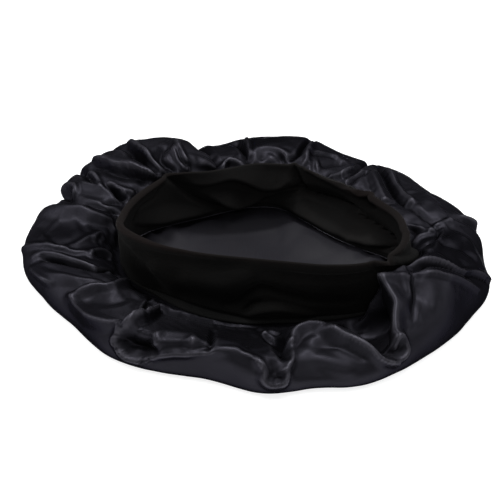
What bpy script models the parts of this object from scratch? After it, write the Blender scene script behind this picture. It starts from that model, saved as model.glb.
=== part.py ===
"""Sleep bonnet: a gathered satin crown sewn to a wide knitted band, lying with its head opening up.

Metres, +Z up. The origin is on the surface, under the middle of the crown; -Y is the front and
+X the right.
Angles run round the middle of the head opening, in degrees: 0 right, 90 back, 180 left, 270 front.
"""

import math
from collections import namedtuple

import bpy
import numpy as np

MM = 0.001
CAMERA = (-2.20 * MM, -807.11 * MM, 518.19 * MM)  # where the photograph was taken from
CAMERA_TILT = 58  # degrees from straight down
LENS = 90  # millimetres, for a film 36 wide
FILM = 36
PHOTO = 500  # pixels across
HEAD_CENTRE = (5.10 * MM, -12.74 * MM)  # middle of the head opening, in plan

CROWN_WALL = 1.6 * MM
CROWN_COLUMNS = 160
TOP_ROWS = 10  # from the seam out to the widest line
UNDER_ROWS = 2  # from the widest line in to where the satin meets the surface
CURVE_SAMPLES = 50  # points on each section curve before it is divided evenly
PLACE_GRID = (480, 69, 9)  # columns, top rows and under rows of the plain crown the folds are placed on
VALLEY_SEEN = 0.3  # share of a valley's depth at which its dark line is seen
PLACE_SLACK = 1.2  # pixels, within which the nearest satin is taken
LEAST_FLANK = 9  # millimetres, the narrowest that the crown's grid shows
FOLD_POINTS = 16  # on the line of a fold
FOLD_SHARE = 0.85  # share of a fold's height that its widened flanks keep
BAND_SHARE = 0.65  # the same on the band
BAND_PLACE_GRID = (420, 45)  # columns and rows of the plain band its folds are placed on

UNDER_RUN = 0.36  # run from the widest line to the surface
SEAM_FADE = 0.12  # run over which the folds start at the seam
FLOOR_FADE = 0.3  # run over which they end at the surface
LEAST_HEIGHT = 4 * MM  # of the satin on top, over the surface
TINY = 1e-12  # keeps a fold's line from dividing by nothing

# The section's curves. Handles are shares of a curve's reach.
ARC = 0.56  # handle of a round quarter turn
LEAST_OUT = 9 * MM  # from the lip to the crest, where the crest lies close
LEAST_HANDLE = 3 * MM
LOW_HANDLE = 0.55  # handle at the seam where the satin lies low first, less by
PUFF_LESS = 0.4  # this where it stands up straight
CREST_HANDLE = 0.35  # handle at the crest there, and more by
PUFF_MORE = 0.35  # this

SEAM_GAP = 0.38 * MM  # left between two pieces along the seam
SEAM_LIP = 4.2 * MM  # flat edge of the satin under the welt
WELT_WALL = 4.4 * MM
WELT_HEIGHT = 3.0 * MM
SEAM_INSET = WELT_WALL * 0.3  # from the middle of the band's wall in to the satin's edge
WELT_OUTSIDE = 0.8  # share of half the welt's wall that shows outside, and the rest inside
WELT_INSIDE = 0.7
BAND_WALL = 3.0 * MM
BAND_COLUMNS = 80
BAND_ROWS = 7
RIM_ROLL = 4.6 * MM  # thickness of the soft fold along the rim
RIM_SIDE = 0.45  # share of it from its middle out to its two edges
RIM_RISE = 0.45  # share of it that they stand above its middle
WALL_LENGTH = 50 * MM  # of the band, from its foot to its rim, for its folds
FOOT_FADE = 0.15  # share of that length over which its folds start

# The crown in plan and section. reach: out to the widest line. edge: its height. crest: height of the
# highest line. share: how far out the crest lies, 0 at the seam and 1 at the widest line. puff: 1
# where the satin stands up straight from the seam, 0 where it lies low first. tuck: from the widest
# line back in to where the satin meets the surface. Millimetres.
Section = namedtuple("Section", "angle reach edge crest share puff tuck")
CROWN = [
    Section(0, 169, 13, 32, 0.32, 0.8, 16),
    Section(15, 173, 16, 35, 0.36, 0.8, 20),
    Section(30, 165, 17, 37, 0.38, 0.7, 22),
    Section(45, 167, 17, 40, 0.40, 0.7, 22),
    Section(60, 164, 16, 39, 0.40, 0.7, 22),
    Section(75, 172, 17, 46, 0.40, 0.8, 22),
    Section(90, 175, 17, 44, 0.38, 0.9, 22),
    Section(105, 166, 16, 41, 0.38, 0.9, 20),
    Section(120, 188, 18, 51, 0.38, 0.9, 22),
    Section(135, 192, 18, 49, 0.42, 0.9, 22),
    Section(150, 184, 17, 41, 0.45, 0.9, 20),
    Section(156, 176, 16, 37, 0.46, 0.9, 19),
    Section(165, 182, 14, 35, 0.46, 0.9, 18),
    Section(180, 178, 11, 31, 0.46, 0.9, 14),
    Section(195, 164, 9, 28, 0.48, 0.8, 11),
    Section(210, 151, 8, 25, 0.56, 0.5, 10),
    Section(225, 151, 7, 25, 0.76, 0.2, 9),
    Section(240, 144, 7, 27, 0.86, 0.0, 8),
    Section(255, 139, 7, 28, 0.88, 0.0, 8),
    Section(270, 149, 7, 26, 0.82, 0.0, 8),
    Section(284, 149, 7, 25, 0.44, 0.2, 9),
    Section(295, 156, 7, 27, 0.52, 0.2, 10),
    Section(305, 157, 8, 24, 0.80, 0.0, 10),
    Section(313, 158, 8, 39, 0.34, 0.5, 10),
    Section(322, 160, 8, 50, 0.16, 0.8, 10),
    Section(333, 162, 8, 52, 0.13, 0.9, 11),
    Section(345, 170, 10, 42, 0.20, 0.9, 13),
]

# The seam and the band above it. foot: middle of the band's wall at the seam. rim: the same at the
# rim. belly: how far the wall swells outward half way up. Millimetres.
Wall = namedtuple("Wall", "angle foot foot_z rim rim_z belly")
BAND = [
    Wall(0, 102, 11, 102, 55, 3),
    Wall(15, 83, 9, 91, 54, 6),
    Wall(28, 73, 9, 80, 55, 8),
    Wall(45, 70, 9, 76, 54, 7),
    Wall(62, 74, 10, 76, 55, 1),
    Wall(80, 82, 12, 72, 56, -4),
    Wall(95, 82, 12, 71, 56, -5),
    Wall(110, 79, 12, 71, 55, -4),
    Wall(125, 81, 11, 74, 55, -1),
    Wall(140, 88, 11, 87, 55, 2),
    Wall(155, 98, 12, 91, 54, 0),
    Wall(170, 105, 12, 96, 54, 0),
    Wall(185, 102, 12, 100, 57, 2),
    Wall(198, 96, 11, 104, 61, 3),
    Wall(212, 86, 10, 94, 60, 2),
    Wall(230, 79, 9, 79, 58, 1),
    Wall(250, 78, 9, 70, 57, 0),
    Wall(270, 81, 9, 70, 57, -1),
    Wall(288, 83, 9, 78, 57, -1),
    Wall(302, 87, 9, 91, 57, 0),
    Wall(316, 98, 10, 105, 57, 0),
    Wall(330, 112, 11, 112, 58, 0),
    Wall(345, 113, 12, 108, 58, 2),
]

# Folds of the crown, each a line through a few spots. x, y: where its top is seen in the photograph,
# pixels from the left and top edges. height: above the satin round it, or below it for a valley. left,
# right: width of each flank, seen from above while going from one spot to the next. Millimetres. past:
# how much further out along the satin the spot lies than the furthest place seen, as a run.
Fold = namedtuple("Fold", "name spots")
Spot = namedtuple("Spot", "x y height left right past", defaults=[0])
FOLDS = [
    Fold("lobe_a_groove", [
        Spot(57, 187, -10, 12, 10, 0.3),
        Spot(61, 193, -11, 11, 9),
        Spot(68, 199, -8, 7, 6),
        Spot(79, 202, -6, 6, 6),
        Spot(90, 205, -5, 5, 5),
        Spot(101, 209, -4, 4, 4),
        Spot(110, 214, -6, 4, 4),
        Spot(115, 216, -3, 3, 3),
    ]),
    Fold("lobe_a_ridge", [
        Spot(52, 203, 2, 10, 12, 0.1),
        Spot(66, 205, 3.5, 7, 12),
        Spot(80, 207, 4, 6, 12),
        Spot(92, 211, 4, 5, 11),
        Spot(103, 216, 4, 5, 9),
        Spot(111, 221, 3.5, 4, 7),
        Spot(113, 230, 2, 4, 5),
    ]),
    Fold("slit_left", [
        Spot(36, 258, -2, 6, 6),
        Spot(44, 259, -9, 6, 5),
        Spot(60, 262, -12, 5, 5),
        Spot(80, 267, -12, 5, 4),
        Spot(100, 273, -12, 4, 4),
        Spot(114, 277, -10, 4, 4),
        Spot(121, 279, -5, 3, 3),
    ]),
    Fold("slit_upper_lip", [
        Spot(33, 257, 1.5, 8, 6),
        Spot(50, 253, 3, 9, 5),
        Spot(70, 258, 3.5, 9, 5),
        Spot(90, 265, 3, 7, 4),
        Spot(108, 271, 2, 5, 4),
    ]),
    Fold("slit_lower_lip", [
        Spot(33, 266, 1.5, 5, 10),
        Spot(46, 271, 3, 5, 12),
        Spot(62, 274, 3.5, 5, 12),
        Spot(82, 278, 2.5, 4, 10),
        Spot(100, 280, 1.5, 4, 7),
    ]),
    Fold("shoulder_top", [
        Spot(76, 182, 2, 6, 10),
        Spot(88, 181, 3.5, 5, 12),
        Spot(100, 183, 3.5, 5, 12),
        Spot(108, 187, 3, 4, 10),
        Spot(116, 196, 2, 4, 8),
        Spot(120, 201, 1.5, 4, 5),
    ]),
    Fold("shoulder_gap", [
        Spot(72, 170, -5, 8, 8, 0.3),
        Spot(80, 174, -7, 7, 7),
        Spot(90, 178, -5, 6, 6),
        Spot(98, 182, -3, 5, 5),
    ]),
    Fold("flat_panel", [
        Spot(88, 168, -4, 8, 12, 0.1),
        Spot(105, 167, -6, 8, 12),
        Spot(125, 173, -6, 8, 12),
        Spot(142, 178, -5, 7, 10),
    ]),
    Fold("straight_fold", [
        Spot(100, 156, 3, 10, 4, 0.08),
        Spot(105, 158, 10, 14, 4),
        Spot(120, 163, 11, 14, 4),
        Spot(135, 168, 11, 13, 4),
        Spot(148, 172, 10, 11, 4),
        Spot(156, 175, 7, 7, 4),
    ]),
    Fold("fan_valley_a", [
        Spot(118, 145, -3, 7, 7, 0.15),
        Spot(126, 150, -7, 7, 7),
        Spot(136, 158, -9, 6, 7),
        Spot(146, 165, -9, 5, 6),
        Spot(155, 171, -6, 4, 5),
    ]),
    Fold("fan_ridge_a", [
        Spot(142, 142, 3, 6, 6, 0.12),
        Spot(146, 148, 6, 5, 6),
        Spot(150, 158, 7, 4, 6),
        Spot(157, 166, 6, 4, 5),
        Spot(166, 172, 3, 3, 4),
    ]),
    Fold("fan_valley_b", [
        Spot(165, 148, -3, 8, 8),
        Spot(160, 157, -4, 6, 6),
        Spot(165, 164, -5, 5, 5),
        Spot(172, 169, -3, 4, 4),
    ]),
    Fold("fan_ridge_b", [
        Spot(181, 143, 3, 5, 6, 0.1),
        Spot(184, 151, 6, 4, 7),
        Spot(187, 159, 6, 4, 6),
        Spot(190, 168, 4, 3, 5),
    ]),
    Fold("back_notch", [
        Spot(199, 148, -9, 12, 11, 0.25),
        Spot(201, 152, -12, 11, 10),
        Spot(209, 156, -9, 7, 6),
        Spot(216, 165, -5, 5, 4),
        Spot(219, 169, -3, 4, 4),
    ]),
    Fold("back_valley", [
        Spot(236, 145, -5, 7, 7, 0.1),
        Spot(243, 149, -7, 6, 6),
        Spot(246, 157, -6, 6, 5),
        Spot(250, 163, -3, 5, 5),
    ]),
    Fold("back_edge", [
        Spot(246, 139, 4, 4, 7, 0.1),
        Spot(248, 147, 5, 4, 7),
        Spot(249, 154, 3, 4, 6),
    ]),
    Fold("puff_ring", [
        Spot(253, 158, 2, 6, 6),
        Spot(257, 149, 3, 6, 6),
        Spot(270, 146, 3, 6, 6),
        Spot(283, 149, 3, 6, 6),
        Spot(288, 158, 2, 6, 6),
    ]),
    Fold("back_line", [
        Spot(306, 141, -4, 5, 5, 0.2),
        Spot(304, 146, -8, 5, 5),
        Spot(299, 153, -8, 5, 5),
        Spot(293, 161, -5, 4, 4),
    ]),
    Fold("back_right_ridge", [
        Spot(309, 143, 3, 5, 8, 0.1),
        Spot(309, 150, 4, 5, 8),
        Spot(306, 158, 3, 5, 7),
        Spot(302, 164, 2, 4, 5),
    ]),
    Fold("back_right_notch", [
        Spot(362, 162, -7, 8, 7, 0.2),
        Spot(359, 166, -8, 7, 6),
        Spot(352, 173, -5, 5, 5),
        Spot(346, 178, -3, 4, 4),
    ]),
    Fold("corner_valley", [
        Spot(366, 172, -6, 6, 5),
        Spot(357, 178, -6, 5, 5),
        Spot(350, 183, -4, 4, 4),
    ]),
    Fold("right_crease", [
        Spot(376, 163, -2, 6, 7, 0.1),
        Spot(381, 170, -5, 6, 7),
        Spot(387, 180, -7, 6, 6),
        Spot(393, 192, -8, 5, 5),
        Spot(401, 201, -6, 5, 5),
        Spot(412, 208, -4, 5, 5),
        Spot(424, 218, -3, 4, 4),
    ]),
    Fold("right_lobe", [
        Spot(420, 190, 3, 12, 20),
        Spot(434, 204, 3, 12, 20),
        Spot(448, 216, 2, 8, 14),
    ]),
    Fold("right_notch", [
        Spot(479, 240, -4, 10, 10, 0.25),
        Spot(473, 230, -6, 8, 8, 0.1),
        Spot(463, 222, -5, 7, 6),
        Spot(453, 219, -4, 6, 5),
    ]),
    Fold("end_lobe", [
        Spot(450, 238, 4, 14, 12),
        Spot(465, 236, 5, 14, 12),
        Spot(474, 250, 3, 12, 10),
    ]),
    Fold("right_slit", [
        Spot(416, 269, -6, 5, 5),
        Spot(425, 267, -11, 5, 5),
        Spot(440, 267, -10, 4, 4),
        Spot(452, 271, -5, 4, 4),
        Spot(462, 274, -3, 3, 3),
    ]),
    Fold("tall_ridge", [
        Spot(371, 272, 3, 9, 6),
        Spot(380, 278, 7, 10, 6),
        Spot(389, 288, 8, 10, 6),
        Spot(394, 300, 8, 11, 6),
        Spot(393, 314, 8, 11, 6),
        Spot(393, 328, 7, 10, 6),
        Spot(394, 344, 6, 8, 6),
    ]),
    Fold("dark_pocket", [
        Spot(366, 298, -10, 14, 12),
        Spot(372, 318, -14, 16, 12),
        Spot(381, 336, -13, 12, 10),
        Spot(386, 350, -8, 8, 8),
    ]),
    Fold("front_lobe_crest", [
        Spot(291, 337, 4, 5, 6),
        Spot(296, 325, 6, 5, 9),
        Spot(310, 320, 7, 5, 10),
        Spot(326, 322, 7, 5, 10),
        Spot(342, 328, 7, 5, 9),
        Spot(358, 337, 7, 5, 8),
        Spot(372, 347, 7, 5, 7),
        Spot(385, 358, 6, 4, 6),
        Spot(398, 364, 4, 4, 5),
    ]),
    Fold("front_lobe_side", [
        Spot(291, 340, 3, 4, 7),
        Spot(290, 355, 5, 4, 8),
        Spot(291, 370, 5, 4, 7),
        Spot(288, 382, 3, 4, 6),
    ]),
    Fold("front_cavity", [
        Spot(272, 338, -9, 9, 9),
        Spot(280, 348, -12, 9, 8),
        Spot(285, 356, -6, 7, 6),
    ]),
    Fold("front_roll", [
        Spot(259, 360, 3, 5, 5),
        Spot(264, 370, 5, 5, 5),
        Spot(266, 381, 6, 5, 6),
        Spot(273, 388, 6, 4, 6),
        Spot(282, 386, 5, 4, 6),
        Spot(290, 378, 3, 4, 4),
    ]),
    Fold("front_ridge", [
        Spot(161, 304, 3, 3, 4),
        Spot(150, 307, 5, 4, 5),
        Spot(135, 314, 7, 4, 6),
        Spot(122, 326, 7, 4, 6),
        Spot(113, 339, 7, 4, 6),
        Spot(115, 348, 6, 4, 6),
        Spot(122, 358, 5, 4, 6),
        Spot(133, 362, 4, 4, 6),
        Spot(150, 359, 3, 4, 6),
        Spot(165, 356, 2.5, 4, 5),
        Spot(190, 355, 2, 4, 5),
        Spot(208, 351, 2, 4, 5),
        Spot(225, 348, 2, 4, 5),
        Spot(240, 349, 2, 4, 5),
        Spot(252, 354, 2.5, 4, 5),
        Spot(260, 362, 3, 4, 5),
    ]),
    Fold("front_pocket", [
        Spot(124, 340, -8, 12, 7),
        Spot(132, 350, -12, 18, 7),
        Spot(142, 353, -12, 16, 7),
        Spot(151, 352, -6, 9, 6),
        Spot(162, 351, -3, 6, 5),
        Spot(190, 350, -3, 6, 5),
        Spot(208, 346, -2, 5, 4),
    ]),
    Fold("lobe_b_edge", [
        Spot(70, 295, 3, 5, 8),
        Spot(74, 304, 5, 6, 8),
        Spot(84, 312, 7, 8, 8),
        Spot(98, 317, 7, 8, 8),
        Spot(115, 319, 7, 8, 8),
        Spot(132, 317, 7, 8, 7),
        Spot(148, 310, 6, 6, 6),
        Spot(162, 303, 4, 4, 4),
    ]),
    Fold("lobe_b_dip", [
        Spot(92, 298, -3, 12, 12),
        Spot(112, 299, -3, 12, 12),
        Spot(130, 297, -2, 8, 8),
    ]),
    Fold("lobe_b_top", [
        Spot(73, 293, 2, 5, 6),
        Spot(82, 285, 4, 4, 7),
        Spot(96, 281, 4, 4, 7),
        Spot(114, 280, 4, 4, 7),
        Spot(132, 280, 3, 4, 6),
        Spot(140, 283, 2, 3, 4),
    ]),
]

# Folds of the band, read in the same way. height: outward, or inward below 0. On the near wall left
# and right change places.
BAND_FOLDS = [
    Fold("flap_crease", [
        Spot(168, 177, 3, 8, 5),
        Spot(188, 192, 8, 8, 5),
        Spot(214, 207, 7, 6, 4),
        Spot(226, 212, 4, 4, 4),
    ]),
    Fold("flap", [
        Spot(138, 223, -2, 14, 4),
        Spot(172, 220, -6, 18, 4),
        Spot(212, 212, -3, 6, 4),
    ]),
    Fold("upper_bank", [
        Spot(178, 181, -2, 14, 4),
        Spot(212, 183, -4, 20, 4),
        Spot(230, 178, -4, 20, 4),
        Spot(262, 187, -6, 22, 4),
        Spot(287, 184, -4, 16, 4),
    ]),
    Fold("lens_shadow", [
        Spot(205, 189, 2, 4, 6),
        Spot(235, 183, 4, 4, 6),
        Spot(272, 192, 4, 4, 5),
        Spot(300, 190, 4, 4, 5),
    ]),
    Fold("lens", [
        Spot(211, 197, -4, 8, 3),
        Spot(224, 203, -10, 16, 3),
        Spot(240, 204, -10, 16, 3),
        Spot(258, 199, -6, 10, 3),
    ]),
    Fold("peak_shadow", [
        Spot(293, 168, 4, 7, 4),
        Spot(298, 187, 8, 9, 5),
    ]),
    Fold("lip_shadow", [
        Spot(298, 194, 6, 12, 4),
        Spot(338, 206, 11, 16, 4),
        Spot(350, 211, 8, 12, 4),
    ]),
    Fold("lip", [
        Spot(306, 169, -2, 5, 3),
        Spot(340, 183, -5, 6, 3),
        Spot(365, 192, -6, 6, 3),
    ]),
    Fold("low_plane", [
        Spot(276, 204, -2, 8, 4),
        Spot(316, 223, -7, 18, 4),
        Spot(350, 241, -4, 12, 4),
    ]),
    Fold("right_gap", [
        Spot(347, 212, 4, 10, 4),
        Spot(372, 230, 9, 16, 4),
        Spot(393, 249, 5, 8, 4),
    ]),
    Fold("lap", [
        Spot(350, 237, -3, 6, 4),
        Spot(363, 240, -8, 8, 4),
        Spot(377, 244, -9, 8, 4),
        Spot(387, 246, -5, 6, 4),
    ]),
    Fold("front_end_crease", [
        Spot(121, 244, -2, 9, 9),
        Spot(144, 273, -3, 12, 12),
        Spot(158, 287, -2, 10, 10),
    ]),
    Fold("front_middle_plane", [
        Spot(195, 280, 4, 14, 14),
        Spot(225, 284, 5, 14, 14),
        Spot(240, 280, 3, 12, 14),
    ]),
    Fold("front_arc", [
        Spot(225, 306, -3, 6, 6),
        Spot(252, 292, -8, 5, 8),
        Spot(290, 297, -8, 5, 9),
        Spot(348, 303, -4, 5, 9),
    ]),
    Fold("front_bulge", [
        Spot(243, 312, 2, 5, 5),
        Spot(275, 302, 6, 8, 5),
        Spot(312, 311, 2, 5, 5),
    ]),
]


def periodic(rows, column, at):
    """A table column in metres as a smooth closed curve of the angle, read at the angles at."""
    angle = np.array([row.angle for row in rows], float)
    value = np.array([getattr(row, column) for row in rows], float)
    angle = np.concatenate([angle[-2:] - 360, angle, angle[:2] + 360])
    value = np.concatenate([value[-2:], value, value[:2]])
    slope = np.gradient(value, angle)
    at = np.mod(np.asarray(at, float), 360)
    i = np.clip(np.searchsorted(angle, at, side="right") - 1, 0, len(value) - 2)
    gap = angle[i + 1] - angle[i]
    t = (at - angle[i]) / gap
    level = value[i] * (2 * t**3 - 3 * t**2 + 1) + value[i + 1] * (3 * t**2 - 2 * t**3)
    return level + gap * (slope[i] * (t**3 - 2 * t**2 + t) + slope[i + 1] * (t**3 - t**2))


def through(points, count):
    """A smooth line of count points through these rows (Catmull-Rom), all columns alike."""
    points = np.asarray(points, float)
    ends = np.vstack([2 * points[0] - points[1], points, 2 * points[-1] - points[-2]])
    along = np.linspace(0, len(points) - 1, count)
    i = np.minimum(along.astype(int), len(points) - 2)
    t = (along - i)[:, None]
    p0, p1, p2, p3 = (ends[i + k] for k in range(4))
    curve = 2 * p1 + (p2 - p0) * t + (2 * p0 - 5 * p1 + 4 * p2 - p3) * t**2
    return (curve + (3 * p1 - p0 - 3 * p2 + p3) * t**3) / 2


def bezier(p0, p1, p2, p3, t):
    """Cubic Bezier curves, one a column: p (columns, 2), t (samples,), result (columns, samples, 2)."""
    t = t[None, :, None]
    p0, p1, p2, p3 = (p[:, None, :] for p in (p0, p1, p2, p3))
    return p0 * (1 - t) ** 3 + 3 * p1 * t * (1 - t) ** 2 + 3 * p2 * t**2 * (1 - t) + p3 * t**3


def divided(curve, shares):
    """The points at these shares of each curve's length, and the lengths."""
    steps = np.linalg.norm(np.diff(curve, axis=1), axis=2)
    length = np.concatenate([np.zeros((len(curve), 1)), np.cumsum(steps, axis=1)], axis=1)
    found = np.empty((len(curve), len(shares), 2))
    for k in range(len(curve)):
        for axis in range(2):
            found[k, :, axis] = np.interp(shares * length[k, -1], length[k], curve[k, :, axis])
    return found, length[:, -1]


def fold_height(line, across, along, width_scale, length_scale):
    """Height of one fold over a grid. line: rows of angle, share, height and width of each flank."""
    line = through(line, FOLD_POINTS)
    best = np.full(across.shape, np.inf)
    height = np.zeros(across.shape)
    for a, b in zip(line[:-1], line[1:]):
        px = np.radians((across - a[0] + 180) % 360 - 180) * width_scale
        py = (along - a[1]) * length_scale
        qx = np.radians(b[0] - a[0]) * width_scale
        qy = (b[1] - a[1]) * length_scale
        t = np.clip((px * qx + py * qy) / (qx**2 + qy**2 + TINY), 0, 1)
        dx = px - t * qx
        dy = py - t * qy
        side = qx * dy - qy * dx
        flank = np.where(side < 0, a[3] + (b[3] - a[3]) * t, a[-1] + (b[-1] - a[-1]) * t) * MM
        away = np.hypot(dx, dy) / flank
        nearer = away < best
        best = np.where(nearer, away, best)
        height = np.where(nearer, a[2] + (b[2] - a[2]) * t, height)
    return height * np.clip(1 - best**2, 0, 1) ** 2 * MM


def seen(points):
    """Where points appear in the photograph, in pixels, and how deep in it they lie."""
    tilt = math.radians(CAMERA_TILT)
    away = points - np.array(CAMERA)
    depth = away @ np.array([0, math.sin(tilt), -math.cos(tilt)])
    rise = away @ np.array([0, math.cos(tilt), math.sin(tilt)])
    focal = LENS / FILM * PHOTO
    return PHOTO / 2 + focal * away[..., 0] / depth, PHOTO / 2 - focal * rise / depth, depth


def spot_on(spot, cloth, normals, facing, angle, run, share):
    """A spot as angle, run, height and flanks: the place on the cloth that is seen where the spot is."""
    top = spot.height if spot.height > 0 else spot.height * VALLEY_SEEN
    x, y, depth = seen(cloth + normals * top * MM)
    off = np.where(facing, np.hypot(x - spot.x, y - spot.y), np.inf)
    near = np.where(off < off.min() + PLACE_SLACK, depth, np.inf)
    i, k = np.unravel_index(np.argmin(near), near.shape)
    flanks = [max(flank, LEAST_FLANK) for flank in (spot.left, spot.right)]
    return [angle[i], run[k] + spot.past, spot.height * share, *flanks]


def placed_folds():
    """Every fold's line as angles and runs: wide ones first, each on the satin as those before left it."""
    angle, section, run, length = crown_sections(*PLACE_GRID)
    across, along = np.broadcast_arrays(angle[:, None], run[None, :])
    flat = turned(section, angle)
    normals = grid_normals(flat)
    height = np.zeros(across.shape)
    lines = {}
    for fold in sorted(FOLDS, key=lambda fold: -max(spot.left + spot.right for spot in fold.spots)):
        satin = shaped(flat, normals, height, along)
        facing = np.einsum("ijk,ijk->ij", grid_normals(satin), np.array(CAMERA) - satin) > 0
        spots = [spot_on(spot, satin, normals, facing, angle, run, FOLD_SHARE) for spot in fold.spots]
        lines[fold.name] = unwound(spots)
        height += fold_height(lines[fold.name], across, along, section[..., 0], length[:, None])
    return lines


def unwound(line):
    """The line with its angles going on past a full turn instead of starting again."""
    line = np.array(line, float)
    line[:, 0] = np.degrees(np.unwrap(np.radians(line[:, 0])))
    return line


def shaped(flat, normals, height, along):
    """The satin at this height over its plain form, faded out at the seam and on the surface."""
    height = height * smooth_step(along / SEAM_FADE) * smooth_step((1 + UNDER_RUN - along) / FLOOR_FADE)
    folded = flat + normals * height[..., None]
    folded[..., 2] = np.maximum(folded[..., 2], np.where(along < 1, LEAST_HEIGHT, 0))
    return folded + np.array([*HEAD_CENTRE, 0])


def smooth_step(x):
    x = np.clip(x, 0, 1)
    return x * x * (3 - 2 * x)


def crown_sections(columns, top_rows, under_rows):
    """The plain section of the crown at each column, its runs and its lengths."""
    angle = np.arange(columns) * 360 / columns
    reach, edge = (periodic(CROWN, c, angle) * MM for c in ("reach", "edge"))
    crest, tuck = (periodic(CROWN, c, angle) * MM for c in ("crest", "tuck"))
    share = periodic(CROWN, "share", angle)
    puff = periodic(CROWN, "puff", angle)
    seam = periodic(BAND, "foot", angle) * MM - SEAM_INSET
    seam_z = periodic(BAND, "foot_z", angle) * MM - SEAM_GAP
    lip = seam + SEAM_LIP
    out = np.maximum(share * (reach - lip), LEAST_OUT)
    start = np.maximum(out * (LOW_HANDLE - PUFF_LESS * puff), LEAST_HANDLE)
    end = out * (CREST_HANDLE + PUFF_MORE * puff)
    zero = np.zeros(columns)
    p0 = np.stack([lip, seam_z], 1)
    p3 = np.stack([lip + out, crest], 1)
    p6 = np.stack([reach, edge], 1)
    p9 = np.stack([reach - tuck, zero], 1)
    t = np.linspace(0, 1, CURVE_SAMPLES)
    rise = bezier(p0, p0 + np.stack([start, zero], 1), p3 - np.stack([end, zero], 1), p3, t)
    fall = bezier(p3, p3 + np.stack([(p6 - p3)[:, 0] * ARC, zero], 1),
                  p6 + np.stack([zero, (p3 - p6)[:, 1] * ARC], 1), p6, t)
    under = bezier(p6, p6 - np.stack([zero, edge * ARC], 1), p9 + np.stack([tuck * ARC, zero], 1), p9, t)
    run = np.linspace(0, 1, top_rows)
    top, length = divided(np.concatenate([rise, fall[:, 1:]], axis=1), run)
    low, _ = divided(under, np.linspace(0, 1, under_rows + 1)[1:])
    section = np.concatenate([np.stack([seam, seam_z], 1)[:, None], top, low], axis=1)
    run = np.concatenate([[0], run, 1 + np.arange(1, under_rows + 1) * UNDER_RUN / under_rows])
    return angle, section, run, length


def crown_grid(columns, top_rows, under_rows):
    """Outer face of the crown, from the seam over the widest line to the surface: (columns, rows, 3)."""
    angle, section, run, length = crown_sections(columns, top_rows, under_rows)
    across, along = np.broadcast_arrays(angle[:, None], run[None, :])
    flat = turned(section, angle)
    height = np.zeros(across.shape)
    for line in placed_folds().values():
        height += fold_height(line, across, along, section[..., 0], length[:, None])
    return shaped(flat, grid_normals(flat), height, along)


def turned(section, angle):
    """Radius and height at each angle, as points."""
    turn = np.radians(angle)[:, None]
    return np.stack([section[..., 0] * np.cos(turn), section[..., 0] * np.sin(turn), section[..., 1]], 2)


def grid_normals(grid):
    """Directions away from the cloth, up at the seam and outward at the widest line."""
    round_way = np.roll(grid, -1, 0) - np.roll(grid, 1, 0)
    out_way = np.gradient(grid, axis=1)
    normal = np.cross(out_way, round_way)
    return normal / np.linalg.norm(normal, axis=2, keepdims=True)


def band_line(columns, rows, folded=True):
    """Middle of the band's wall (columns, rows, 3) and the outward direction there."""
    angle = np.arange(columns) * 360 / columns
    foot, rim, rim_z, belly = (periodic(BAND, c, angle) * MM for c in ("foot", "rim", "rim_z", "belly"))
    foot_z = periodic(BAND, "foot_z", angle) * MM + WELT_HEIGHT + SEAM_GAP
    up = np.linspace(0, 1, rows)
    across, along = np.broadcast_arrays(angle[:, None], up[None, :])
    radius = foot[:, None] + (rim - foot)[:, None] * up + belly[:, None] * 4 * up * (1 - up)
    height = foot_z[:, None] + (rim_z - foot_z)[:, None] * up
    if folded:
        out = sum(fold_height(line, across, along, radius, WALL_LENGTH) for line in placed_band_folds())
        radius = radius + out * smooth_step(along / FOOT_FADE)
    line = turned(np.stack([radius, height], 2), angle)
    outward = -grid_normals(line)
    outward[:, 0, 2] = 0
    outward[:, 0] /= np.linalg.norm(outward[:, 0], axis=1, keepdims=True)
    return line + np.array([*HEAD_CENTRE, 0]), outward


def placed_band_folds():
    """The line of each fold of the band, as angles and shares of the wall's height."""
    line, outward = band_line(*BAND_PLACE_GRID, folded=False)
    angle = np.arange(len(line)) * 360 / len(line)
    up = np.linspace(0, 1, line.shape[1])
    facing = np.ones(line.shape[:2], bool)
    return [
        unwound([spot_on(spot, line, outward * 0, facing, angle, up, BAND_SHARE) for spot in fold.spots])
        for fold in BAND_FOLDS
    ]


def ring_faces(columns, points, closed):
    """Quads of a grid that closes round the head opening, and across too when closed."""
    faces = []
    for i in range(columns):
        j = (i + 1) % columns
        for k in range(points if closed else points - 1):
            m = (k + 1) % points
            faces.append((i * points + k, j * points + k, j * points + m, i * points + m))
    return faces


def object_from(name, vertices, faces):
    mesh = bpy.data.meshes.new(name)
    mesh.from_pydata([tuple(v) for v in vertices.reshape(-1, 3)], [], faces)
    mesh.update()
    obj = bpy.data.objects.new(name, mesh)
    bpy.context.scene.collection.objects.link(obj)
    return obj


def material(obj, name, colour, roughness, sheen):
    mat = bpy.data.materials.new(name)
    mat.use_nodes = True
    shader = mat.node_tree.nodes["Principled BSDF"]
    shader.inputs["Base Color"].default_value = (*colour, 1)
    shader.inputs["Roughness"].default_value = roughness
    shader.inputs["Sheen Weight"].default_value = sheen
    obj.data.materials.append(mat)


def build_crown():
    outer = crown_grid(CROWN_COLUMNS, TOP_ROWS, UNDER_ROWS)
    inner = outer - grid_normals(outer) * CROWN_WALL
    inner[:, 0] = outer[:, 0] - np.array([0, 0, CROWN_WALL])
    inner[:, -1, 2] = CROWN_WALL
    inner[:, :, 2] = np.maximum(inner[:, :, 2], CROWN_WALL)
    shell = np.concatenate([outer[:, ::-1], inner], axis=1)
    points = shell.shape[1]
    faces = ring_faces(CROWN_COLUMNS, points, False)
    faces.append(tuple(i * points for i in reversed(range(CROWN_COLUMNS))))
    faces.append(tuple(i * points + points - 1 for i in range(CROWN_COLUMNS)))
    crown = object_from("crown", shell, faces)
    material(crown, "satin_blue_black", (0.012, 0.013, 0.020), 0.32, 0.2)
    return crown


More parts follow.
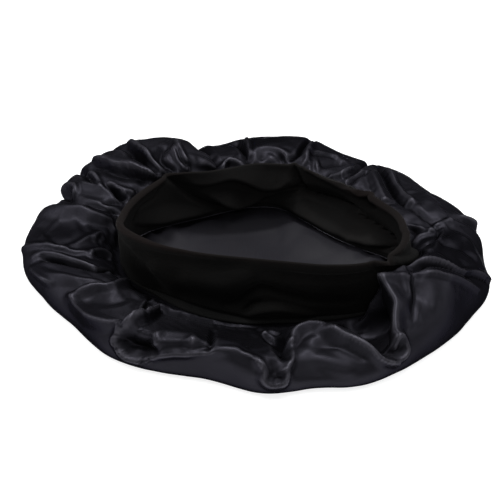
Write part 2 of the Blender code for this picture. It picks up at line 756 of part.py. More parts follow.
def build_band():
    line, outward = band_line(BAND_COLUMNS, BAND_ROWS + 1)
    half = outward * BAND_WALL / 2
    rim = line[:, -1:, :]
    rise = np.array([0, 0, 1.0])
    roll = outward[:, -1:, :] * RIM_ROLL * RIM_SIDE
    edges = [rim + side * roll + rise * RIM_ROLL * RIM_RISE for side in (1, -1)]
    profile = [line + half, *edges, (line - half)[:, ::-1]]
    loop = np.concatenate(profile, axis=1)
    faces = ring_faces(BAND_COLUMNS, loop.shape[1], True)
    band = object_from("band", loop, faces)
    material(band, "knit_black", (0.016, 0.015, 0.014), 0.9, 0.3)
    return band


def build_welt():
    """The turned and stitched edge between the band and the crown."""
    angle = np.arange(BAND_COLUMNS) * 360 / BAND_COLUMNS
    foot = periodic(BAND, "foot", angle)[:, None] * MM
    low = periodic(BAND, "foot_z", angle)[:, None] * MM
    radius = foot + np.array([[WELT_OUTSIDE, WELT_OUTSIDE, -WELT_INSIDE, -WELT_INSIDE]]) * WELT_WALL / 2
    height = low + np.array([[0, 1, 1, 0]]) * WELT_HEIGHT
    loop = turned(np.stack([radius, height], 2), angle) + np.array([*HEAD_CENTRE, 0])
    welt = object_from("seam_welt", loop, ring_faces(BAND_COLUMNS, loop.shape[1], True))
    material(welt, "knit_black_seam", (0.020, 0.019, 0.018), 0.85, 0.3)
    return welt


for old in list(bpy.data.objects):
    bpy.data.objects.remove(old, do_unlink=True)

build_crown()
build_band()
build_welt()
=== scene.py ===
"""Looks of the sleep bonnet: its gathered satin crown, wide knitted band, seam welt, floor and light.

Metres, +Z up, in the frame of the solids. Angles run round the middle of the head opening, in
degrees: 0 right, 90 back, 180 left, 270 front. The crown's sections are those of the part's source.
The foot of the band lies a few millimetres further in at the front, and the folds are more and finer.
"""
import math
from collections import namedtuple

import bpy
import numpy as np
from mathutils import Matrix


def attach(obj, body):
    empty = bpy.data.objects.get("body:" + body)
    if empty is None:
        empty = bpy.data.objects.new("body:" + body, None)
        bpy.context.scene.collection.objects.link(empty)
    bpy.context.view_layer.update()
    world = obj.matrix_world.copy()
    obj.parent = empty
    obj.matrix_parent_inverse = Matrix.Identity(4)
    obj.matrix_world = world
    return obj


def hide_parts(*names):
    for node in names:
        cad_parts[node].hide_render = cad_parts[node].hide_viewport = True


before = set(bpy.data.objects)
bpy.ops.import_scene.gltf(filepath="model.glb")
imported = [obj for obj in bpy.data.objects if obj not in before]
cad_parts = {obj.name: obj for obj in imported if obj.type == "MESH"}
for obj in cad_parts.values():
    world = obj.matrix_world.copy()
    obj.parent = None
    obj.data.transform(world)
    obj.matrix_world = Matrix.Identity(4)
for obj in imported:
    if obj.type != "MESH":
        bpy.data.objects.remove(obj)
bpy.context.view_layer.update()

MM = 0.001
CAMERA = (-2.20 * MM, -807.11 * MM, 518.19 * MM)  # where the photograph was taken from
CAMERA_TILT = 58  # degrees from straight down
LENS = 90  # millimetres, for a film 36 wide
FILM = 36
PHOTO = 500  # pixels across
HEAD_CENTRE = (5.10 * MM, -12.74 * MM)  # middle of the head opening, in plan

SATIN_WALL = 0.8 * MM
CROWN_COLUMNS = 528
SEAM_ROWS = 5  # of the crown, over the flat edge under the welt
TOP_ROWS = 69  # from there out to the widest line
UNDER_ROWS = 9  # from the widest line in to where the satin meets the surface
FLOOR_ROWS = 15  # from there to the middle of the floor, inside
SOLE_ROWS = 3  # the same, underneath
FOLD_POINTS = 22  # on the line of a fold
PLACE_COLUMNS = 480  # of the plain crown on which the folds are placed
VALLEY_SEEN = 0.3  # share of a valley's depth at which its dark line is seen
PLACE_SLACK = 1.2  # pixels, within which the nearest satin is taken
LEAST_HEIGHT = 3 * SATIN_WALL  # of the satin on top, over the surface
CLEARANCE = 2 * MM  # over which it eases out of touching the surface
SEAM_FADE = 0.12  # run over which the folds start at the seam
FLOOR_FADE = 0.3  # run over which they end at the surface
TINY = 1e-12  # keeps a fold's line from dividing by nothing
WALL_LENGTH = 50 * MM  # of the band, from its foot to its rim, for its folds
FOOT_FADE = 0.07  # share of that length over which its folds start
CURVE_SAMPLES = 90  # points on each section curve before it is divided evenly
UNDER_RUN = 0.36  # run from the widest line to the surface
FLOOR_SOFT = 0.12  # share of the slope inside over which it eases into the floor
FLOOR_BEYOND = 9 * MM  # over which the satin inside falls away again past the seam
FLOOR_MIDDLE = 0.004  # share of the floor's reach at which its last ring lies

# The section's curves. Handles are shares of a curve's reach.
ARC = 0.56  # handle of a round quarter turn
LEAST_OUT = 9 * MM  # from the lip to the crest, where the crest lies close
LEAST_HANDLE = 3 * MM
LOW_HANDLE = 0.55  # handle at the seam where the satin lies low first, less by
PUFF_LESS = 0.4  # this where it stands up straight
CREST_HANDLE = 0.35  # handle at the crest there, and more by
PUFF_MORE = 0.35  # this

# The cloth pass.
CLOTH_STEPS = 30
CLOTH_GROWTH = 0.04  # of the satin while it settles
CLOTH_HOLD = 0.25  # how firmly a point keeps to its place, 1 being pinned
EDGE_HOLD = 0.2  # more towards the widest line, and more by
EDGE_HOLD_FRONT = 0.4  # this there at the front
FRONT_KEEPS = 0.35  # share of the growth that the front does without
EDGE_KEEPS = 0.6  # the same towards the widest line, and more by
EDGE_KEEPS_FRONT = 0.4  # this there at the front
EDGE_FROM = 0.62  # run from which the widest line is near
EDGE_OVER = 0.25
FRONT_FROM = 0.35  # sine of the angle below which the front begins
FRONT_OVER = 0.6
WEIGHT_STEPS = 20
CLOTH = {
    "quality": 6, "mass": 0.05, "tension_stiffness": 25, "compression_stiffness": 25,
    "shear_stiffness": 8, "bending_stiffness": 5, "tension_damping": 5, "compression_damping": 5,
    "shear_damping": 5, "bending_damping": 0.5, "air_damping": 1,
}

SEAM_GAP = 0.38 * MM
SEAM_LIP = 4.2 * MM
SEAM_INSET = 0.4 * MM  # from the middle of the band's wall in to the satin's edge
WELT_INSIDE = 1.0 * MM  # from there in to the welt's inner side
WELT_HEIGHT = 3.0 * MM
WELT_LEDGE = 3.2 * MM  # from the middle of the welt out to the edge that shows
WELT_SLOPE = 2.8 * MM  # further out at its lower edge
WELT_HIDDEN = 1.6 * MM  # from the middle out where the band covers that edge
WELT_POINTS = 12  # round its section
WELT_SQUARE = 0.6  # power that squares the section's circle
WELT_STRIP = 2 * MM  # of its flat cloth for each radian of that circle
STITCHES = 90  # sine waves round the seam, two stitches each
STITCH_DEPTH = 0.12  # share of the welt's width and height that a stitch pulls in
STITCH_LESS = 0.8  # share of that which is missing where the edge shows
BAND_WALL = 2.0 * MM
BAND_CLEARANCE = 0.8 * MM  # least gap between the band and the satin beside it
BESIDE_FROM = 1 * MM  # over the band's foot, from where that gap is kept
BAND_COLUMNS = 420
BAND_ROWS = 44
RIM_STEPS = 12
RIM_ROLL = 2.3 * MM
RIM_ROLL_ENDS = 5.5 * MM  # the same at the left and right ends, where it lies flat
RIM_RISE = 1.3 * MM  # of the rim over the wall
ROLL_FROM = 0.88  # share of the wall's height from which it widens into the roll
ROLL_OVER = 0.1
ENDS_FROM = 0.7  # cosine of the angle from which the left and right ends begin
ENDS_OVER = 0.25

# The crown in plan and section. reach: out to the widest line. edge: its height. crest: height of the
# highest line. share: how far out the crest lies, 0 at the seam and 1 at the widest line. puff: 1
# where the satin stands up straight from the seam, 0 where it lies low first. tuck: from the widest
# line back in to where the satin meets the surface. Millimetres.
Section = namedtuple("Section", "angle reach edge crest share puff tuck")
CROWN = [
    Section(0, 169, 13, 32, 0.32, 0.8, 16),
    Section(15, 173, 16, 35, 0.36, 0.8, 20),
    Section(30, 165, 17, 37, 0.38, 0.7, 22),
    Section(45, 167, 17, 40, 0.40, 0.7, 22),
    Section(60, 164, 16, 39, 0.40, 0.7, 22),
    Section(75, 172, 17, 46, 0.40, 0.8, 22),
    Section(90, 175, 17, 44, 0.38, 0.9, 22),
    Section(105, 166, 16, 41, 0.38, 0.9, 20),
    Section(120, 188, 18, 51, 0.38, 0.9, 22),
    Section(135, 192, 18, 49, 0.42, 0.9, 22),
    Section(150, 184, 17, 41, 0.45, 0.9, 20),
    Section(156, 176, 16, 37, 0.46, 0.9, 19),
    Section(165, 182, 14, 35, 0.46, 0.9, 18),
    Section(180, 178, 11, 31, 0.46, 0.9, 14),
    Section(195, 164, 9, 28, 0.48, 0.8, 11),
    Section(210, 151, 8, 25, 0.56, 0.5, 10),
    Section(225, 151, 7, 25, 0.76, 0.2, 9),
    Section(240, 144, 7, 27, 0.86, 0.0, 8),
    Section(255, 139, 7, 28, 0.88, 0.0, 8),
    Section(270, 149, 7, 26, 0.82, 0.0, 8),
    Section(284, 149, 7, 25, 0.44, 0.2, 9),
    Section(295, 156, 7, 27, 0.52, 0.2, 10),
    Section(305, 157, 8, 24, 0.80, 0.0, 10),
    Section(313, 158, 8, 39, 0.34, 0.5, 10),
    Section(322, 160, 8, 50, 0.16, 0.8, 10),
    Section(333, 162, 8, 52, 0.13, 0.9, 11),
    Section(345, 170, 10, 42, 0.20, 0.9, 13),
]

# The seam and the band above it. foot: middle of the band's wall at the seam. rim: the same at the
# rim. belly: how far the wall swells outward half way up. Millimetres.
Wall = namedtuple("Wall", "angle foot foot_z rim rim_z belly")
BAND = [
    Wall(0, 102, 11, 102, 55, 3),
    Wall(15, 83, 9, 91, 54, 6),
    Wall(28, 73, 9, 80, 55, 8),
    Wall(45, 70, 9, 76, 54, 7),
    Wall(62, 74, 10, 76, 55, 1),
    Wall(80, 82, 12, 72, 56, -4),
    Wall(95, 82, 12, 71, 56, -5),
    Wall(110, 79, 12, 71, 55, -4),
    Wall(125, 81, 11, 74, 55, -1),
    Wall(140, 88, 11, 87, 55, 2),
    Wall(155, 98, 12, 91, 54, 0),
    Wall(170, 105, 12, 96, 54, 0),
    Wall(185, 102, 12, 100, 57, 2),
    Wall(198, 96, 11, 104, 61, 3),
    Wall(212, 83, 10, 94, 60, 2),
    Wall(230, 74, 9, 79, 58, 1),
    Wall(250, 72, 9, 70, 57, 0),
    Wall(270, 75, 9, 70, 57, -1),
    Wall(288, 78, 9, 78, 57, -1),
    Wall(302, 84, 9, 91, 57, 0),
    Wall(316, 98, 10, 105, 57, 0),
    Wall(330, 112, 11, 112, 58, 0),
    Wall(345, 113, 12, 108, 58, 2),
]

# The satin seen inside: it slopes down from the seam. rise: its height there. reach: how far in the
# slope ends. Millimetres.
Inside = namedtuple("Inside", "angle rise reach")
FLOOR = [
    Inside(0, 7, 34),
    Inside(25, 8, 40),
    Inside(50, 9, 44),
    Inside(66, 9, 36),
    Inside(78, 9, 20),
    Inside(95, 9, 17),
    Inside(112, 9, 18),
    Inside(126, 8, 16),
    Inside(142, 7, 20),
    Inside(160, 6, 26),
    Inside(180, 5, 30),
    Inside(270, 4, 30),
]

# Folds of the satin. soft: 1 where a fold's back is round, 0 where it is a sharp crease. Each is a
# line through a few spots. x, y: where its top is seen in the photograph, pixels from the left and
# top edges. height: above the satin round it, or below it for a valley. left, right: width of each
# flank, seen from above while going from one spot to the next. Millimetres. past: how much further
# out along the satin the spot lies than the furthest place seen, as a run.
Fold = namedtuple("Fold", "name soft spots")
Spot = namedtuple("Spot", "x y height left right past", defaults=[0])


def fold(name, soft, *spots):
    return Fold(name, soft, [Spot(*spot) for spot in spots])


FOLDS = [
    fold("lobe_a_groove", 0.3, (57, 187, -10, 12, 10, 0.3), (61, 193, -11, 11, 9), (68, 199, -8, 7, 6),
         (79, 202, -6, 6, 6), (90, 205, -5, 5, 5), (101, 209, -4, 4, 4), (110, 214, -6, 4, 4),
         (115, 216, -3, 3, 3)),
    fold("lobe_a_ridge", 0.6, (52, 203, 2, 10, 12, 0.1), (66, 205, 3.5, 7, 12), (80, 207, 4, 6, 12),
         (92, 211, 4, 5, 11), (103, 216, 4, 5, 9), (111, 221, 3.5, 4, 7), (113, 230, 2, 4, 5)),
    fold("lobe_a_hollow", 1, (50, 224, -1, 16, 18), (70, 224, -1.5, 18, 20), (90, 224, -1, 14, 16)),
    fold("lobe_a_low", 0.45, (28, 240, 2, 5, 6, 0.1), (42, 243, 2.5, 5, 5), (60, 246, 2.5, 4, 5),
         (80, 249, 2.5, 4, 5), (92, 250, 2, 4, 5)),
    fold("lobe_a_triangle", 0.45, (42, 236, 1, 5, 5), (54, 243, 2, 5, 4), (70, 244, 2, 5, 4),
         (86, 239, 2, 5, 4), (99, 232, 2, 4, 4)),
    fold("pucker", 0.5, (96, 238, 2, 4, 4), (101, 233, 2, 4, 4), (104, 238, 2, 4, 4), (100, 241, 1, 3, 3)),
    fold("pucker_loop", 0.45, (91, 252, 2, 3, 4), (97, 248, 2.5, 3, 4), (106, 250, 2.5, 3, 4),
         (112, 256, 2, 3, 4)),
    fold("pucker_hollow", 0.3, (98, 256, -3, 6, 6), (108, 260, -3, 5, 5)),
    fold("slit_left", 0.3, (36, 258, -2, 6, 6), (44, 259, -9, 6, 5), (60, 262, -12, 5, 5),
         (80, 267, -12, 5, 4), (100, 273, -12, 4, 4), (114, 277, -10, 4, 4), (121, 279, -5, 3, 3)),
    fold("slit_upper_lip", 0.6, (33, 257, 1.5, 8, 6), (50, 253, 3, 9, 5), (70, 258, 3.5, 9, 5),
         (90, 265, 3, 7, 4), (108, 271, 2, 5, 4)),
    fold("slit_lower_lip", 0.6, (33, 266, 1.5, 5, 10), (46, 271, 3, 5, 12), (62, 274, 3.5, 5, 12),
         (82, 278, 2.5, 4, 10), (100, 280, 1.5, 4, 7)),
    fold("side_arc", 0.45, (28, 270, 2, 5, 4), (38, 278, 4, 5, 4), (48, 282, 2, 4, 4)),
    fold("shoulder_edge", 0.45, (71, 176, 2, 6, 8, 0.2), (72, 183, 3.5, 5, 8), (71, 192, 3.5, 5, 8),
         (69, 199, 2, 5, 6)),
    fold("shoulder_top", 0.5, (76, 182, 2, 6, 10), (88, 181, 3.5, 5, 12), (100, 183, 3.5, 5, 12),
         (108, 187, 3, 4, 10), (116, 196, 2, 4, 8), (120, 201, 1.5, 4, 5)),
    fold("shoulder_gap", 0.3, (72, 170, -5, 8, 8, 0.3), (80, 174, -7, 7, 7), (90, 178, -5, 6, 6),
         (98, 182, -3, 5, 5)),
    fold("shoulder_fold", 0.45, (84, 167, 2, 5, 7, 0.1), (89, 171, 3.5, 5, 6), (95, 177, 3.5, 4, 6),
         (101, 181, 2, 4, 5)),
    fold("shoulder_slit", 0.3, (106, 184, -4, 4, 4), (112, 189, -9, 5, 5), (118, 197, -9, 5, 4),
         (124, 201, -5, 4, 4)),
    fold("shoulder_rib", 0.45, (108, 181, 2, 4, 4), (120, 185, 2.5, 4, 4), (130, 190, 2.5, 4, 4),
         (137, 193, 1, 3, 3)),
    fold("shoulder_curl", 0.45, (121, 187, 1, 4, 4), (123, 193, 2.5, 4, 4), (128, 198, 2, 4, 4)),
    fold("shoulder_curl_low", 0.45, (127, 189, 1, 3, 4), (133, 193, 2, 3, 4), (134, 197, 1, 3, 3)),
    fold("upper_pleat", 0.3, (104, 202, -2, 4, 4), (112, 203, -3, 4, 4), (120, 205, -2, 3, 3)),
    fold("flat_panel", 0.8, (88, 168, -4, 8, 12, 0.1), (105, 167, -6, 8, 12), (125, 173, -6, 8, 12),
         (142, 178, -5, 7, 10)),
    fold("straight_fold", 0.1, (100, 156, 3, 10, 4, 0.08), (105, 158, 10, 14, 4), (120, 163, 11, 14, 4),
         (135, 168, 11, 13, 4), (148, 172, 10, 11, 4), (156, 175, 7, 7, 4)),
    fold("fan_valley_a", 0.3, (118, 145, -3, 7, 7, 0.15), (126, 150, -7, 7, 7), (136, 158, -9, 6, 7),
         (146, 165, -9, 5, 6), (155, 171, -6, 4, 5)),
    fold("fan_ridge_a", 0.45, (142, 142, 3, 6, 6, 0.12), (146, 148, 6, 5, 6), (150, 158, 7, 4, 6),
         (157, 166, 6, 4, 5), (166, 172, 3, 3, 4)),
    fold("fan_ridge_small", 0.45, (139, 147, 1, 4, 4), (144, 153, 3, 4, 4), (148, 160, 2, 3, 3)),
    fold("fan_valley_b", 0.3, (165, 148, -3, 8, 8), (160, 157, -4, 6, 6), (165, 164, -5, 5, 5),
         (172, 169, -3, 4, 4)),
    fold("fan_fold_b", 0.45, (172, 147, 2, 5, 5), (177, 155, 4, 4, 5), (182, 163, 4, 4, 4),
         (185, 169, 2, 3, 3)),
    fold("fan_valley_c", 0.3, (178, 148, -4, 5, 4), (183, 157, -6, 4, 4), (187, 165, -5, 4, 3)),
    fold("fan_ridge_b", 0.45, (181, 143, 3, 5, 6, 0.1), (184, 151, 6, 4, 7), (187, 159, 6, 4, 6),
         (190, 168, 4, 3, 5)),
    fold("notch_dome", 1, (197, 160, 2, 10, 8), (207, 161, 4, 10, 7), (213, 165, 3, 6, 5)),
    fold("back_notch", 0.3, (199, 148, -9, 12, 11, 0.25), (201, 152, -12, 11, 10), (209, 156, -9, 7, 6),
         (216, 165, -5, 5, 4), (219, 169, -3, 4, 4)),
    fold("arch_left", 0.45, (222, 169, 1, 3, 4), (224, 163, 3.5, 4, 5), (229, 158, 4, 4, 5),
         (234, 159, 4, 4, 5), (240, 163, 3, 4, 5), (245, 168, 1, 4, 4)),
    fold("arch_hollow", 0.3, (230, 166, -2.5, 5, 5), (236, 167, -2.5, 5, 5)),
    fold("back_valley", 0.3, (236, 145, -5, 7, 7, 0.1), (243, 149, -7, 6, 6), (246, 157, -6, 6, 5),
         (250, 163, -3, 5, 5)),
    fold("back_edge", 0.45, (246, 139, 4, 4, 7, 0.1), (248, 147, 5, 4, 7), (249, 154, 3, 4, 6)),
    fold("puff_ring", 0.7, (253, 158, 2, 6, 6), (257, 149, 3, 6, 6), (270, 146, 3, 6, 6),
         (283, 149, 3, 6, 6), (288, 158, 2, 6, 6)),
    fold("puff_middle", 1, (262, 159, -2, 5, 5), (271, 158, 2, 7, 7), (279, 159, -2, 5, 5)),
    fold("back_line", 0.3, (306, 141, -4, 5, 5, 0.2), (304, 146, -8, 5, 5), (299, 153, -8, 5, 5),
         (293, 161, -5, 4, 4)),
    fold("back_right_ridge", 0.45, (309, 143, 3, 5, 8, 0.1), (309, 150, 4, 5, 8), (306, 158, 3, 5, 7),
         (302, 164, 2, 4, 5)),
    fold("back_dimple", 0.3, (312, 154, -2, 4, 4), (320, 155, -3, 4, 4), (331, 156, -2.5, 4, 4),
         (336, 159, -1, 3, 3)),
    fold("back_dimple_lip", 0.45, (314, 150, 1, 4, 4), (324, 152, 2, 4, 4), (336, 154, 2, 4, 4),
         (338, 160, 1, 4, 4)),
    fold("back_rib", 0.45, (318, 158, 1, 4, 4), (317, 163, 2.5, 4, 4), (318, 169, 1, 3, 3)),
    fold("back_right_hollow", 1, (325, 165, -3, 7, 7), (340, 162, -3, 8, 8)),
    fold("back_right_line", 0.45, (332, 174, 2, 4, 5), (345, 169, 5, 4, 6), (357, 165, 5, 4, 6, 0.05)),
    fold("back_right_notch", 0.3, (362, 162, -7, 8, 7, 0.2), (359, 166, -8, 7, 6), (352, 173, -5, 5, 5),
         (346, 178, -3, 4, 4)),
    fold("corner_valley", 0.3, (366, 172, -6, 6, 5), (357, 178, -6, 5, 5), (350, 183, -4, 4, 4)),
    fold("right_crease", 0.3, (376, 163, -2, 6, 7, 0.1), (381, 170, -5, 6, 7), (387, 180, -7, 6, 6),
         (393, 192, -8, 5, 5), (401, 201, -6, 5, 5), (412, 208, -4, 5, 5), (424, 218, -3, 4, 4)),
    fold("right_crease_bank", 0.8, (386, 169, 3, 8, 5), (393, 180, 4, 8, 5), (400, 191, 4, 7, 5),
         (410, 199, 3, 6, 5)),
    fold("inner_bank", 0.9, (370, 170, 2, 8, 8), (378, 183, 4, 8, 7), (385, 195, 3, 7, 6)),
    fold("right_lobe", 1, (420, 190, 3, 12, 20), (434, 204, 3, 12, 20), (448, 216, 2, 8, 14)),
    fold("right_pleat_a", 0.45, (414, 208, 1, 4, 4), (423, 214, 2.5, 4, 4), (430, 222, 2, 4, 4)),
    fold("right_pleat_b", 0.3, (419, 211, -2, 4, 4), (427, 219, -3, 4, 4), (433, 226, -3, 4, 4)),
    fold("right_pleat_c", 0.45, (410, 226, 1, 3, 4), (420, 225, 2.5, 3, 4), (432, 227, 2.5, 3, 4),
         (440, 228, 1, 3, 3)),
    fold("right_pit", 0.3, (411, 230, -5, 5, 5), (417, 233, -4, 5, 4)),
    fold("swirl_ridge", 0.45, (413, 241, 2, 4, 4), (419, 233, 3, 4, 5), (429, 230, 2.5, 4, 4),
         (436, 223, 3, 4, 5), (446, 220, 3, 4, 6), (458, 219, 2, 4, 6, 0.05)),
    fold("swirl_inner", 0.45, (421, 250, 1, 4, 4), (430, 248, 2, 4, 4), (437, 241, 2.5, 4, 4),
         (441, 232, 3, 4, 4), (447, 226, 2, 4, 5)),
    fold("swirl_slit", 0.3, (424, 247, -2.5, 4, 4), (431, 244, -3.5, 4, 4), (436, 237, -3.5, 3, 3),
         (439, 229, -2.5, 3, 3)),
    fold("right_notch", 0.4, (479, 240, -4, 10, 10, 0.25), (473, 230, -6, 8, 8, 0.1), (463, 222, -5, 7, 6),
         (453, 219, -4, 6, 5)),
    fold("right_corner", 0.5, (474, 217, 4, 5, 6, 0.05), (466, 215, 3, 5, 6)),
    fold("end_lobe", 1, (450, 238, 4, 14, 12), (465, 236, 5, 14, 12), (474, 250, 3, 12, 10)),
    fold("right_slit", 0.3, (416, 269, -6, 5, 5), (425, 267, -11, 5, 5), (440, 267, -10, 4, 4),
         (452, 271, -5, 4, 4), (462, 274, -3, 3, 3)),
    fold("right_layer_a", 0.45, (421, 260, 1, 7, 3), (432, 257, 3, 7, 3), (446, 260, 3, 7, 3),
         (456, 266, 3, 7, 3), (466, 270, 2.5, 7, 3), (480, 271, 2.5, 7, 3), (490, 273, 2, 7, 3, 0.05)),
    fold("right_layer_c", 0.45, (424, 275, 1, 7, 3), (434, 272, 3, 7, 3), (447, 274, 3, 7, 3),
         (460, 277, 3, 7, 3), (474, 283, 3, 7, 3), (482, 291, 2, 7, 3)),
    fold("right_layer_gap", 0.3, (465, 275, -2, 4, 4), (476, 275, -3, 4, 4), (487, 277, -2.5, 4, 4, 0.05)),
    fold("tall_ridge", 0.45, (371, 272, 3, 9, 6), (380, 278, 7, 10, 6), (389, 288, 8, 10, 6),
         (394, 300, 8, 11, 6), (393, 314, 8, 11, 6), (393, 328, 7, 10, 6), (394, 344, 6, 8, 6)),
    fold("tall_edge", 0.45, (378, 271, 3, 5, 6), (392, 271, 4, 4, 7), (404, 273, 3, 4, 7)),
    fold("dark_pocket", 1, (352, 322, -6, 10, 10), (364, 330, -10, 14, 10), (376, 340, -12, 14, 10),
         (386, 350, -8, 8, 8)),
    fold("dark_hollow", 1, (366, 298, -10, 14, 12), (372, 312, -12, 14, 12), (380, 326, -10, 12, 10)),
    fold("vertical_crease", 0, (413, 280, -5, 26, 4), (414, 292, -7, 32, 5), (415, 305, -5, 18, 5),
         (413, 320, -2, 5, 4)),
    fold("front_loop", 0.5, (398, 336, 3, 4, 4), (405, 335, 5, 4, 5), (411, 343, 6, 4, 6),
         (411, 353, 6, 4, 6), (404, 361, 5, 4, 5), (394, 362, 4, 4, 4)),
    fold("loop_hollow", 0.5, (403, 343, -2, 4, 4), (401, 351, -4, 5, 5), (395, 357, -3, 4, 4)),
    fold("front_lobe_crest", 0.5, (291, 337, 4, 5, 6), (296, 325, 6, 5, 9), (310, 320, 7, 5, 10),
         (326, 322, 7, 5, 10), (342, 328, 7, 5, 9), (358, 337, 7, 5, 8), (372, 347, 7, 5, 7),
         (385, 358, 6, 4, 6), (398, 364, 4, 4, 5)),
    fold("front_lobe_ridge", 1, (306, 345, 1.5, 7, 8), (314, 338, 2.5, 7, 8), (328, 334, 3, 7, 9),
         (344, 334, 3, 6, 9), (357, 340, 3, 6, 8), (370, 349, 2.5, 5, 7), (383, 358, 1.5, 4, 6)),
    fold("front_lobe_dip", 1, (325, 343, -1.5, 9, 9), (345, 346, -2.5, 9, 9), (362, 354, -2, 7, 7)),
    fold("front_lobe_stripe", 1, (297, 356, 1.5, 9, 9), (311, 354, 2.5, 10, 10), (328, 360, 3, 10, 10),
         (345, 367, 2, 9, 9)),
    fold("front_lobe_side", 0.45, (291, 340, 3, 4, 7), (290, 355, 5, 4, 8), (291, 370, 5, 4, 7),
         (288, 382, 3, 4, 6)),
    fold("front_cavity", 0.8, (272, 338, -9, 9, 9), (280, 348, -12, 9, 8), (285, 356, -6, 7, 6)),
    fold("cavity_lip", 0.45, (266, 332, 2, 3, 3), (276, 336, 4, 3, 3), (288, 340, 2, 3, 3)),
    fold("front_roll", 0.6, (259, 360, 3, 5, 5), (264, 370, 5, 5, 5), (266, 381, 6, 5, 6),
         (273, 388, 6, 4, 6), (282, 386, 5, 4, 6), (290, 378, 3, 4, 4)),
    fold("roll_hollow", 0.5, (274, 366, -2, 6, 6), (276, 377, -3, 5, 5)),
    fold("roll_tongue", 0.45, (271, 381, 1, 3, 3), (278, 374, 2, 3, 3), (285, 368, 1.5, 3, 3)),
    fold("front_ridge", 0.3, (161, 304, 3, 3, 4), (150, 307, 5, 4, 5), (135, 314, 7, 4, 6),
         (122, 326, 7, 4, 6), (113, 339, 7, 4, 6), (115, 348, 6, 4, 6), (122, 358, 5, 4, 6),
         (133, 362, 4, 4, 6), (150, 359, 3, 4, 6), (165, 356, 2.5, 4, 5), (190, 355, 2, 4, 5),
         (208, 351, 2, 4, 5), (225, 348, 2, 4, 5), (240, 349, 2, 4, 5), (252, 354, 2.5, 4, 5),
         (260, 362, 3, 4, 5)),
    fold("front_pocket", 1, (124, 340, -8, 12, 7), (132, 350, -12, 18, 7), (142, 353, -12, 16, 7),
         (151, 352, -6, 9, 6), (162, 351, -3, 6, 5), (190, 350, -3, 6, 5), (208, 346, -2, 5, 4)),
    fold("pocket_dome", 1, (163, 337, 6, 15, 15), (181, 336, 6, 15, 15)),
    fold("pocket_dome_top", 1, (163, 337, -5, 9, 9), (181, 336, -5, 9, 9)),
    fold("pocket_crease", 0.3, (214, 331, -2, 4, 4), (212, 340, -4, 4, 4), (209, 349, -3, 3, 3)),
    fold("pocket_bank", 1, (222, 338, 2, 8, 10), (236, 341, 2.5, 8, 10)),
    fold("seam_gap", 0.6, (152, 304, -4, 4, 5), (165, 310, -6, 5, 7), (185, 317, -7, 5, 7),
         (210, 322, -6, 4, 6), (235, 325, -5, 4, 5), (254, 327, -3, 4, 4)),
    fold("lobe_b_edge", 0.3, (70, 295, 3, 5, 8), (74, 304, 5, 6, 8), (84, 312, 7, 8, 8), (98, 317, 7, 8, 8),
         (115, 319, 7, 8, 8), (132, 317, 7, 8, 7), (148, 310, 6, 6, 6), (162, 303, 4, 4, 4)),
    fold("lobe_b_dip", 1, (92, 298, -3, 12, 12), (112, 299, -3, 12, 12), (130, 297, -2, 8, 8)),
    fold("lobe_b_top", 0.45, (73, 293, 2, 5, 6), (82, 285, 4, 4, 7), (96, 281, 4, 4, 7),
         (114, 280, 4, 4, 7), (132, 280, 3, 4, 6), (140, 283, 2, 3, 4)),
    fold("pinch_outer", 0.45, (139, 309, 1.5, 3, 3), (146, 300, 3, 3, 3), (155, 293, 3, 3, 3),
         (160, 292, 2, 3, 3)),
    fold("pinch_hollow", 0.3, (143, 307, -3, 3, 3), (150, 299, -4, 3, 3), (156, 298, -3.5, 3, 3)),
]

